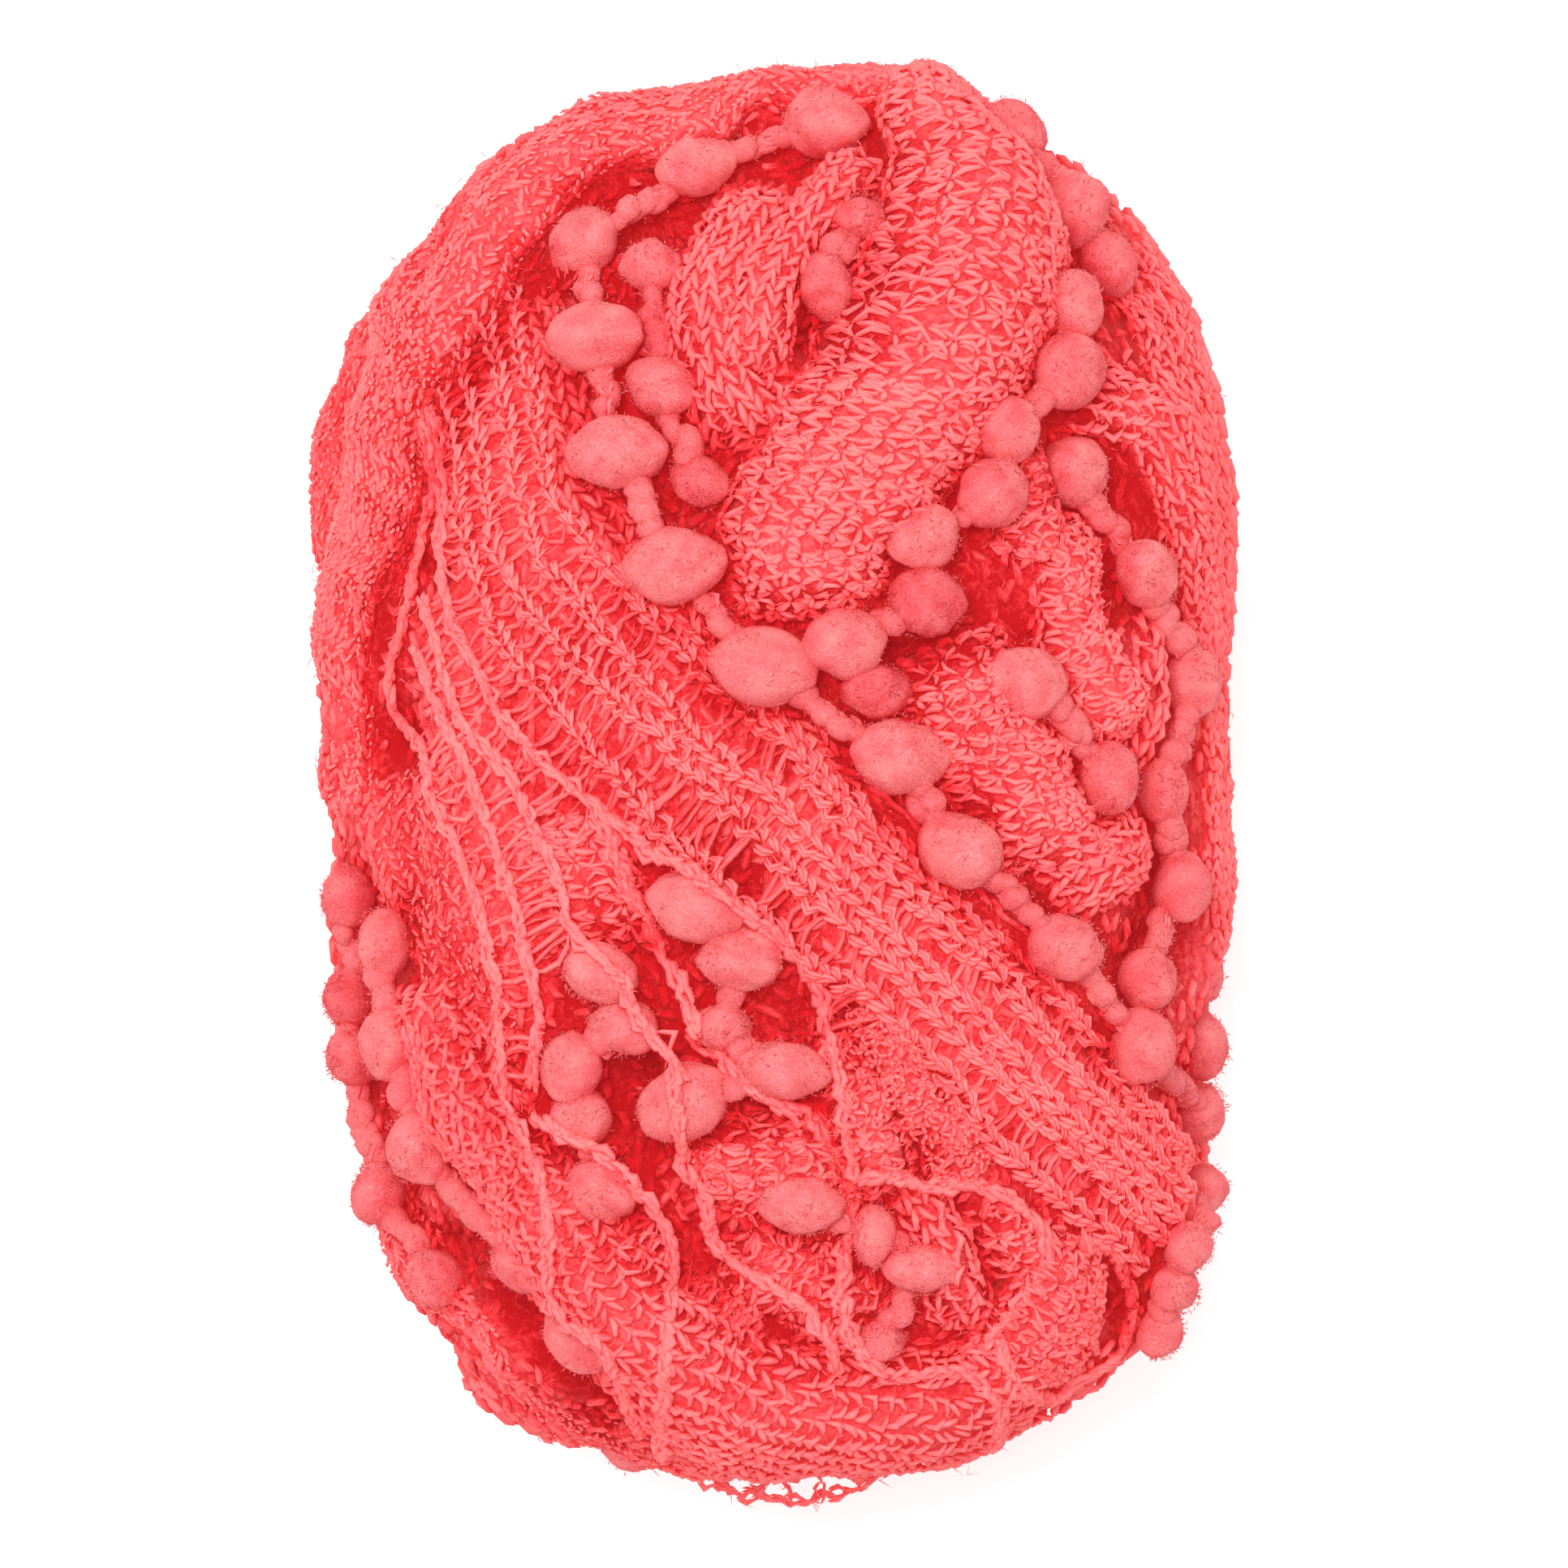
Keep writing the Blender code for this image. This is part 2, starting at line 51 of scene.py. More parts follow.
# The ball's own middle in the part's frame, the height and reach of its straight core, the
# radius of its round ends and half its length over them
MIDDLE = np.array([-1.1, 0.5])
MIDDLE_HEIGHT = 43.2
CORE_REACH = 46.0
END_RADIUS = 50.0
HALF_LENGTH = CORE_REACH + END_RADIUS * math.pi / 2
UPPER = 1
LOWER = -1

# Where rays start, how far the core is filled where they meet nothing, and the gap kept above
# the floor
FAR = 160.0
CORE_FILL = 30.0
FLOOR_GAP = 0.05

# The height up to which the ball keeps the shape of its flat spot
FLAT_SPOT = 6.0

# The photograph is 1932 pixels square and 0.1 mm a pixel where the ball is widest
FIELD = 193.2
CAMERA_DISTANCE = 1500.0
SENSOR = 36.0


# Materials

def linear(hex_colour):
    """An sRGB hex colour as linear red, green, blue and alpha."""
    shares = [int(hex_colour[i:i + 2], 16) / 255 for i in (1, 3, 5)]
    return (*[s / 12.92 if s <= 0.04045 else ((s + 0.055) / 1.055) ** 2.4 for s in shares], 1.0)


def add_node(tree, kind, settings, links=()):
    """Adds a node, with settings for its sockets or properties and links into its sockets."""
    node = tree.nodes.new(kind)
    for name, value in settings.items():
        if isinstance(name, int) or name in node.inputs:
            node.inputs[name].default_value = value
        else:
            setattr(node, name, value)
    for name, source in dict(links).items():
        tree.links.new(source, node.inputs[name])
    return node


def new_material(name, settings):
    """A material, with settings for its shader's own sockets."""
    material = bpy.data.materials.new(name)
    material.use_nodes = True
    shader = material.node_tree.nodes["Principled BSDF"]
    for socket, value in settings.items():
        shader.inputs[socket].default_value = value
    return material, material.node_tree, shader


def knit_material(name, tones, through, fibre_mm, tangle, streaks, bump_mm):
    """Brushed acrylic yarn: hairy matt plies with painted highlights on their backs, and a painted
    red glow for the light through them.
    """
    # The emission is a faint red glow painted in for light passing through the fibres; it lifts the
    # shade in the gaps towards red.
    material, tree, shader = new_material(name, {
        "Roughness": 0.9, "Specular IOR Level": 0.15, "Sheen Weight": 0.14,
        "Sheen Roughness": 0.5, "Sheen Tint": linear("#FF9C94"),
        "Emission Color": linear("#FF2E36"), "Emission Strength": through})
    place = add_node(tree, "ShaderNodeTexCoord", {}).outputs["Object"]
    shade = add_node(tree, "ShaderNodeAttribute", {"attribute_name": "shade"}).outputs["Fac"]
    lay = add_node(tree, "ShaderNodeAttribute", {"attribute_name": "lay"}).outputs["Vector"]
    patches = add_node(
        tree, "ShaderNodeTexNoise", {"Scale": 1 / (7 * MM), "Detail": 2.0}, {"Vector": place})
    fibres = add_node(
        tree, "ShaderNodeTexNoise",
        {"Scale": 1 / (fibre_mm * MM), "Detail": 2.0, "Distortion": tangle}, {"Vector": lay})
    tone = shade
    for pattern, strength in ((patches, 0.5), (fibres, streaks)):
        swing = add_node(
            tree, "ShaderNodeMath",
            {"operation": "MULTIPLY_ADD", 1: strength, 2: -strength / 2},
            {0: pattern.outputs["Fac"]})
        tone = add_node(
            tree, "ShaderNodeMath", {"operation": "ADD"},
            {0: tone, 1: swing.outputs[0]}).outputs[0]
    ramp = add_node(tree, "ShaderNodeValToRGB", {}, {"Fac": tone})
    ramp.color_ramp.elements[0].color = linear(tones[0])
    ramp.color_ramp.elements[1].color = linear(tones[3])
    for stop, colour in zip((0.28, 0.55), tones[1:3]):
        ramp.color_ramp.elements.new(stop).color = linear(colour)
    relief = add_node(
        tree, "ShaderNodeBump", {"Strength": 0.7, "Distance": bump_mm * MM},
        {"Height": fibres.outputs["Fac"]})
    tree.links.new(ramp.outputs["Color"], shader.inputs["Base Color"])
    tree.links.new(relief.outputs["Normal"], shader.inputs["Normal"])
    return material


def floor_material():
    """Matt white studio card: it bounces soft light back up under the ball."""
    material, tree, shader = new_material("matt_white_card", {
        "Base Color": linear("#C8C8C8"), "Emission Color": linear("#FFFFFF"),
        "Emission Strength": 0.62, "Roughness": 0.95, "Specular IOR Level": 0.1})
    place = add_node(tree, "ShaderNodeTexCoord", {}).outputs["Object"]
    tooth = add_node(tree, "ShaderNodeTexNoise", {"Scale": 1 / (2 * MM)}, {"Vector": place})
    relief = add_node(
        tree, "ShaderNodeBump", {"Strength": 0.05, "Distance": 0.05 * MM},
        {"Height": tooth.outputs["Fac"]})
    tree.links.new(relief.outputs["Normal"], shader.inputs["Normal"])
    return material


# The colours of each from its deepest gaps, in painted shade, to its palest backs, with painted
# highlights, then the strength of a red glow painted in for the light that comes through the thin
# loose fibres, which keeps the shaded gaps between them red, then the fibres' spacing in
# millimetres, their tangle, their streaks of tone and how far they stand up
KNIT = knit_material(
    "brushed_acrylic_knit", ("#B80C16", "#DC3C42", "#E86467", "#F68080"),
    0.19, 0.32, 0.4, 0.9, 0.2)
# A darker copy of the same yarn, painted in shade, for the straps and the ball that lie under the
# stitches
SHADE_PAINTED_KNIT = knit_material(
    "shade_painted_acrylic_knit", ("#A0060C", "#C0282E", "#DA4A4F", "#EC7072"),
    0.17, 0.8, 0.6, 1.1, 0.8)
FELT = knit_material(
    "felted_acrylic_pompom", ("#D02C36", "#EA5860", "#F47378", "#FE9494"),
    0.15, 0.5, 2.6, 1.3, 1.2)


# The heap of turns that later turns are laid on

class Heap:
    """What has been wound so far, as triangles that a ray from outside meets."""

    def __init__(self):
        self.corners = []
        self.triangles = []
        self.count = 0

    def add(self, corners, triangles):
        self.corners.append(corners)
        self.triangles.append(triangles + self.count)
        self.count += len(corners)

    def settle(self):
        self.tree = BVHTree.FromPolygons(
            np.vstack(self.corners).tolist(), np.vstack(self.triangles).tolist())


def read_shape(shape):
    """A bmesh as arrays of corners and triangles, after which it is freed."""
    bmesh.ops.triangulate(shape, faces=shape.faces)
    shape.verts.index_update()
    corners = np.array([vert.co for vert in shape.verts])
    triangles = np.array([[vert.index for vert in face.verts] for face in shape.faces])
    shape.free()
    return corners, triangles


def smoothed_ball():
    """The CAD ball with its facets softened, in millimetres."""
    shape = bmesh.new()
    shape.from_mesh(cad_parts["wound_ball"].data)
    bmesh.ops.scale(shape, vec=(1 / MM, 1 / MM, 1 / MM), verts=shape.verts)
    bmesh.ops.remove_doubles(shape, verts=shape.verts, dist=0.01)
    bmesh.ops.subdivide_edges(shape, edges=shape.edges, cuts=1, use_grid_fill=True)
    for _ in range(3):
        upper = [vert for vert in shape.verts if vert.co.z > FLAT_SPOT]
        bmesh.ops.smooth_vert(
            shape, verts=upper, factor=0.5, use_axis_x=True, use_axis_y=True, use_axis_z=True)
    return shape


def from_core(points):
    """Each point's place on the ball's straight core, and its way out from there."""
    points = np.atleast_2d(points)
    cores = np.zeros_like(points)
    cores[:, 0] = MIDDLE[0]
    cores[:, 1] = np.clip(points[:, 1], MIDDLE[1] - CORE_REACH, MIDDLE[1] + CORE_REACH)
    cores[:, 2] = MIDDLE_HEIGHT
    ways = points - cores
    return cores, ways / np.linalg.norm(ways, axis=1, keepdims=True)


def reaches(tree, points):
    """How far from the core the heap reaches towards each point."""
    cores, ways = from_core(points)
    found = np.zeros(len(cores))
    for i, (core, way) in enumerate(zip(cores, ways)):
        hit = tree.ray_cast(Vector(core + way * FAR), Vector(-way))[3]
        found[i] = FAR - hit if hit is not None else CORE_FILL
    return found


def put(tree, x, y, side=UPPER, lift=0.0):
    """The point on the heap seen at x, y from above or below, or the rim beside it."""
    aim = np.array([x + MIDDLE[0], y + MIDDLE[1]])
    seen = aim.copy()
    for _ in range(4):
        hit = tree.ray_cast(Vector((seen[0], seen[1], FAR * side + 40.0)), Vector((0, 0, -side)))[0]
        if hit is None:
            hit = np.array(tree.find_nearest(Vector((seen[0], seen[1], MIDDLE_HEIGHT)))[0])
            return hit if lift == 0.0 else np.array([*aim, hit[2] + side * lift * 0.3])
        way = from_core(np.array(hit))[1][0]
        found = np.array(hit) + way * lift
        if lift == 0.0:
            break
        seen = seen + (aim - found[:2]) * 0.8
    return found


def smooth_curve(points, count):
    """That many points, evenly spaced, on a Catmull-Rom curve through the given ones."""
    points = np.asarray(points, float)
    if len(points) > 2:
        ends = np.vstack([2 * points[0] - points[1], points, 2 * points[-1] - points[-2]])
        shares = np.linspace(0, 1, 13)[:-1, None]
        found = [
            0.5 * (2 * b + (c - a) * shares + (2 * a - 5 * b + 4 * c - d) * shares**2
                   + (3 * b - a - 3 * c + d) * shares**3)
            for a, b, c, d in zip(ends, ends[1:], ends[2:], ends[3:])]
        points = np.vstack([*found, points[-1:]])
    return even(points, count)


def lengths_along(points):
    return np.concatenate([[0.0], np.cumsum(np.linalg.norm(np.diff(points, axis=0), axis=1))])


def values_at(points, run, wanted):
    """The points' coordinates at wanted distances along their run."""
    return np.stack([np.interp(wanted, run, column) for column in points.T], axis=1)


def even(points, count):
    """The line through the points, as that many evenly spaced ones."""
    run = lengths_along(points)
    return values_at(points, run, np.linspace(0.0, run[-1], count))


def ripple(points, wave, seed):
    """Smooth random waves through space, about -1 to 1."""
    ways = np.random.default_rng(seed)
    total = np.zeros(len(points))
    for _ in range(5):
        way = ways.normal(size=3)
        way *= 2 * math.pi / (wave * ways.uniform(0.7, 1.6)) / np.linalg.norm(way)
        total += np.sin(points @ way + ways.uniform(0, 2 * math.pi))
    return total / 2.5


def unit(vectors):
    return vectors / np.maximum(np.linalg.norm(vectors, axis=-1, keepdims=True), 1e-9)


# Knitted legs, the leaf-shaped halves of the stitches

def ply(sides, rings):
    """A thin spindle, a millimetre long and wide, lying along X."""
    shape = bmesh.new()
    bmesh.ops.create_uvsphere(
        shape, u_segments=sides, v_segments=rings, radius=0.5,
        matrix=Matrix.Rotation(math.pi / 2, 4, "Y"))
    return read_shape(shape)


def twisted(plies, sides, rings):
    """One leg of a stitch, a millimetre long and wide: thin plies twisted together."""
    corners, triangles = ply(sides, rings)
    placed = []
    for k in range(plies):
        turn = 2 * math.pi * k / plies + 0.5 + corners[:, 0] * PLY_TWIST
        placed.append(np.stack([
            corners[:, 0] * (1.0 - 0.06 * k), corners[:, 1] * PLY_SHARE + PLY_SHIFT * np.cos(turn),
            corners[:, 2] * PLY_SHARE + PLY_SHIFT * np.sin(turn)], axis=1))
    many = [triangles + k * len(corners) for k in range(plies)]
    return np.vstack(placed), np.vstack(many)


def ball_of(level):
    """A round ball of one millimetre radius."""
    shape = bmesh.new()
    bmesh.ops.create_icosphere(shape, subdivisions=level, radius=1.0)
    return read_shape(shape)


# How the pull of its neighbours shifts a knitted face: size, wavelength and seed of the waves
PULLS = [(0.3, 7.0, 11), (0.18, 2.8, 21)]


def pull(points):
    """The shift of each point of a knitted face."""
    return np.stack([
        sum(size * ripple(points, wave, seed + k) for size, wave, seed in PULLS)
        for k in range(3)], axis=1)


KNIT_FUZZ = []
FUZZ_SHARE = 0.8
# Loose fibres: how often, how far they stand up, their spread and their lengths
FIBRES = [(0.55, 0.06, 0.35, 1.2, 2.4), (0.16, 0.4, 0.6, 0.3, 0.7)]
HAIR_BEND = 0.22
# Legs: how far they overlap, bend and twist, the scatter of their tones, how much highlight is
# painted on their crests and shade on their tips, and how their fibres run on from leg to leg
LEG_OVERLAP = 1.12
LEG_BEND = 0.17
LEG_TWIST = 2.4
TONE_SCATTER = 0.08
CREST_HIGHLIGHT_PAINTED = 0.24
TIP_SHADE_PAINTED = 0.17
FIBRE_STRETCH = 0.2
FIBRE_STEP = 3.7
# The lowest leg that is made, and how far out a turn that covers a leg may lie
LOWEST_LEG = 1.5
COVER_REACH = 30.0
# Two plies of a twisted leg: their turn, their share of its thickness and how far apart they run
PLY_TWIST = 2.2
PLY_SHARE = 0.62
PLY_SHIFT = 0.26
ROPE_LEG = twisted(2, 4, 4)
LEG = ply(4, 4)
PLAIN_LEG = ply(4, 3)
RUNG = ply(4, 6)
HAIR = ply(3, 2)


# The heap's outline, blurred, on a grid along and round the ball, then how painted light and
# shade follow a point's height against it and against the brims of the turns: paler where it
# stands out, darker in hollows and under brims
GRID_ALONG = 260
GRID_ROUND = 260
BLUR_MM = 9.0
BRIM_BLUR_MM = 1.2
CAVITY_MM = 2.8
RELIEF_LIGHT_AND_SHADE_PAINTED = 0.3
BRIM_MM = 4.0
BRIM_SHADOW_PAINTED = 0.5
GROOVE_SHADOWS_PAINTED_ABOVE = MIDDLE_HEIGHT - 8.0


def capsule_place(points):
    """How far along and round the ball each point lies, and how far out from its core."""
    cores, ways = from_core(points)
    along = cores[:, 1] - MIDDLE[1] + END_RADIUS * np.arcsin(np.clip(ways[:, 1], -1, 1))
    return along, np.arctan2(ways[:, 0], ways[:, 2]), np.linalg.norm(points - cores, axis=1)


def on_capsule(along, turn, side=UPPER):
    """Places on the core and ways out from it, and how far the ball has not yet narrowed."""
    core = np.clip(along, -CORE_REACH, CORE_REACH)
    tilt = (along - core) / END_RADIUS
    places = np.stack([np.full(len(core), MIDDLE[0]), MIDDLE[1] + core,
                       np.full(len(core), MIDDLE_HEIGHT)], axis=1)
    ways = np.stack([np.sin(turn) * np.cos(tilt), np.sin(tilt),
                     side * np.cos(turn) * np.cos(tilt)], axis=1)
    return places, ways, np.cos(tilt)


def cells(rows, columns):
    """The row and column of every cell, and how many cells there are."""
    i, j = np.indices((rows, columns)).reshape(2, -1)
    return i, j, len(i)


def blur(grid, spread, axis, wraps):
    """The grid smoothed along one axis, over a spread counted in cells."""
    reach = int(spread * 3)
    weights = np.exp(-0.5 * (np.arange(-reach, reach + 1) / spread) ** 2)
    weights /= weights.sum()
    pads = [(0, 0), (0, 0)]
    pads[axis] = (reach, reach)
    padded = np.pad(grid, pads, mode="wrap" if wraps else "edge")
    return np.apply_along_axis(lambda line: np.convolve(line, weights, "valid"), axis, padded)


def heap_outlines(tree):
    """The heap's reach with its folds and grooves blurred away, and that of the nearest brims."""
    i, j, _ = cells(GRID_ALONG, GRID_ROUND)
    along = np.linspace(-HALF_LENGTH, HALF_LENGTH, GRID_ALONG)[i]
    turn = (j + 0.5) / GRID_ROUND * 2 * math.pi - math.pi
    places, ways, _ = on_capsule(along, turn)
    grid = reaches(tree, places + ways * END_RADIUS).reshape(GRID_ALONG, GRID_ROUND)
    brims = grid
    for _ in range(2):
        longer = np.pad(brims, ((1, 1), (0, 0)), mode="edge")
        brims = np.maximum(np.maximum(longer[:-2], longer[2:]), brims)
        brims = np.maximum(np.maximum(np.roll(brims, 1, 1), np.roll(brims, -1, 1)), brims)
    row_mm, column_mm = 2 * HALF_LENGTH / GRID_ALONG, 2 * math.pi * END_RADIUS / GRID_ROUND
    return [
        blur(blur(outline, reach / row_mm, 0, False), reach / column_mm, 1, True)
        for outline, reach in ((grid, BLUR_MM), (brims, BRIM_BLUR_MM))]


def painted_groove_shadow(points):
    """How much painted shadow darkens each point, by how near it lies to a groove between the
    turns.
    """
    deeper = np.zeros(len(points))
    for route, half_width, tone in GROOVE_SHADOWS_PAINTED:
        line = smooth_curve(route + MIDDLE, 40)
        away = np.linalg.norm(points[:, None, :2] - line[None, :, :], axis=2).min(axis=1)
        deeper += tone * np.exp(-(away / half_width) ** 2)
    return np.where(points[:, 2] > GROOVE_SHADOWS_PAINTED_ABOVE, deeper, 0.0)


def painted_light_and_shade(points):
    """Painted light and shade: how much paler or darker each point is painted, by its height
    against the heap's outlines and its nearness to a groove.
    """
    along, turn, reach = capsule_place(points)
    row = (along + HALF_LENGTH) / (2 * HALF_LENGTH) * (GRID_ALONG - 1)
    column = (turn + math.pi) / (2 * math.pi) * GRID_ROUND - 0.5
    i = np.clip(np.rint(row).astype(int), 0, GRID_ALONG - 1)
    j = np.rint(column).astype(int) % GRID_ROUND
    standing = np.clip((reach - OUTLINE[i, j]) / CAVITY_MM, -1.4, 0.6)
    sunk = np.clip((BRIMS[i, j] - reach - 1.3) / BRIM_MM, 0.0, 1.0)
    return RELIEF_LIGHT_AND_SHADE_PAINTED * standing - BRIM_SHADOW_PAINTED * sunk - painted_groove_shadow(points)


class Strands:
    """Many legs, bobbles or hairs gathered to make one mesh."""

    def __init__(self):
        self.corners = []
        self.triangles = []
        self.shades = []
        self.lays = []
        self.waiting = []
        self.count = 0

    def add(self, corners, triangles, shades, lays=None):
        self.corners.append(corners)
        self.triangles.append(triangles + self.count)
        self.shades.append(np.broadcast_to(shades, len(corners)))
        self.lays.append(corners if lays is None else lays)
        self.count += len(corners)

    def legs(self, starts, ends, ups, width, bow=0.3, shade=0.5, shape=LEG, thick=0.9, bend=0.0):
        """Legs from starts to ends, kept back until it is known what will cover them."""
        count = len(starts)
        if count:
            starts, ends = starts + pull(starts), ends + pull(ends)
            sizes = [np.broadcast_to(size, count) for size in (width, bow, shade, bend)]
            self.waiting.append((starts, ends, ups, *sizes, shape, thick))

    def knit(self, starts, ends, ups, width, bow, shade, bend, shape, thick):
        """Makes the legs that nothing covers, their middles bowed up and their tips sunk in, with
        painted highlight on crests and painted shade at tips.
        """
        if shape is not HAIR:
            seen = uncovered((starts + ends) / 2)
            starts, ends, ups, width, bow, shade, bend = [
                part[seen] for part in (starts, ends, ups, width, bow, shade, bend)]
            add_fuzz(starts, ends, ups)
        count = len(starts)
        corners, triangles = shape
        along = ends - starts
        length = np.linalg.norm(along, axis=1) * LEG_OVERLAP
        along = unit(along)
        across = unit(np.cross(ups, along))
        up = np.cross(along, across)
        shade = shade + RANDOM.normal(0, TONE_SCATTER, count)
        bend = bend + RANDOM.normal(0, HAIR_BEND if shape is HAIR else LEG_BEND, count) * length
        arch = 1.0 - (2 * corners[:, 0]) ** 2 * 1.4
        x = corners[:, 0] * length[:, None]
        y = corners[:, 1] * width[:, None]
        z = corners[:, 2] * (width * thick)[:, None]
        turn = corners[:, 0] * LEG_TWIST
        lays = np.stack([
            x * FIBRE_STRETCH + np.arange(count)[:, None] * FIBRE_STEP,
            y * np.cos(turn) - z * np.sin(turn), y * np.sin(turn) + z * np.cos(turn)], axis=2)
        y = y + bend[:, None] * arch
        z = z + bow[:, None] * arch
        middle = (starts + ends) / 2
        placed = (middle[:, None] + x[..., None] * along[:, None]
                  + y[..., None] * across[:, None] + z[..., None] * up[:, None])
        many = triangles + (np.arange(count) * len(corners))[:, None, None]
        # Painted highlight on each leg's crest and painted shade towards its tips
        height = corners[:, 2] * CREST_HIGHLIGHT_PAINTED - np.abs(corners[:, 0]) * TIP_SHADE_PAINTED
        tones = np.clip(shade[:, None] + height, 0.0, 1.0)
        self.add(placed.reshape(-1, 3), many.reshape(-1, 3), tones.reshape(-1),
                 lays.reshape(-1, 3))

    def finish(self, name, material, slot, replaced=(), depth=1.0):
        for batch in self.waiting:
            self.knit(*batch)
        make_piece(
            name, np.vstack(self.corners), np.vstack(self.triangles), np.concatenate(self.shades),
            np.vstack(self.lays), material, replaced, depth)


def uncovered(points):
    """Which points have no turn lying over them."""
    ways = from_core(points)[1]
    return (points[:, 2] > LOWEST_LEG) & np.array([
        COVER.tree.ray_cast(Vector(point + way), Vector(way), COVER_REACH)[0] is None
        for point, way in zip(points, ways)], dtype=bool)


def add_fuzz(starts, ends, ups):
    """Loose fibres on the legs: some lie along them and some stand off."""
    for share, lift, spread, short, long in FIBRES:
        often = np.where(ups[:, 2] > 0.4, share, share * 0.12)
        picked = RANDOM.random(len(starts)) < often * FUZZ_SHARE
        where = RANDOM.random((picked.sum(), 1))
        a, b, up = starts[picked], ends[picked], ups[picked]
        roots = a * where + b * (1 - where) + up * 0.45
        lean = unit(unit(b - a) * (0.8 - lift) + up * lift + RANDOM.normal(0, spread, roots.shape))
        reach = RANDOM.uniform(short, long, (len(roots), 1))
        KNIT_FUZZ.append((roots, roots + lean * reach))


def in_order(triangles):
    """The same triangles, each from its first corner on, in an order that never changes."""
    first = triangles.argmin(axis=1)[:, None]
    triangles = np.take_along_axis(triangles, (first + np.arange(3)) % 3, axis=1)
    return triangles[np.lexsort(triangles.T)]


def add_object(name, data):
    """A new object with that data, linked to the scene."""
    obj = bpy.data.objects.new(name, data)
    bpy.context.scene.collection.objects.link(obj)
    return obj


def make_piece(name, corners, triangles, shades, lays, material, replaced=(), depth=1.0):
    """A finished mesh at the origin, in metres, with a tone, painted light and shade added, and a
    fibre's lay at every corner.
    """
    # Painted light and shade from the heap's relief, by the piece's share in it
    tones = np.clip(shades + depth * painted_light_and_shade(corners), 0.0, 1.0)
    corners[:, 2] = np.maximum(corners[:, 2], FLOOR_GAP)
    data = bpy.data.meshes.new(name)
    data.vertices.add(len(corners))
    data.vertices.foreach_set("co", (corners * MM).astype(np.float32).ravel())
    data.loops.add(len(triangles) * 3)
    data.loops.foreach_set("vertex_index", in_order(triangles).astype(np.int32).ravel())
    data.polygons.add(len(triangles))
    data.polygons.foreach_set("loop_start", np.arange(0, len(triangles) * 3, 3, dtype=np.int32))
    tone = data.attributes.new("shade", "FLOAT", "POINT")
    tone.data.foreach_set("value", tones.astype(np.float32))
    lay = data.attributes.new("lay", "FLOAT_VECTOR", "POINT")
    lay.data.foreach_set("vector", (lays * MM).astype(np.float32).ravel())
    data.update(calc_edges=True)
    data.shade_smooth()
    data.materials.append(material)
    obj = add_object(name, data)
    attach(obj, "root")
    if replaced:
        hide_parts(*replaced)


# Ribbons: the size of a strap's cells, how often it is pulled taut, how far it lies under its
# stitches and its edges under that, how deep it goes, and how ragged its edges are
STRAP_CELL = 1.6
STRAP_PULLS = 6
STRAP_SINK = 0.35
EDGE_DROP = 0.8
STRAP_DEPTH = 2.6
RAGGED = 0.6
RAGGED_WAVE = 9.0


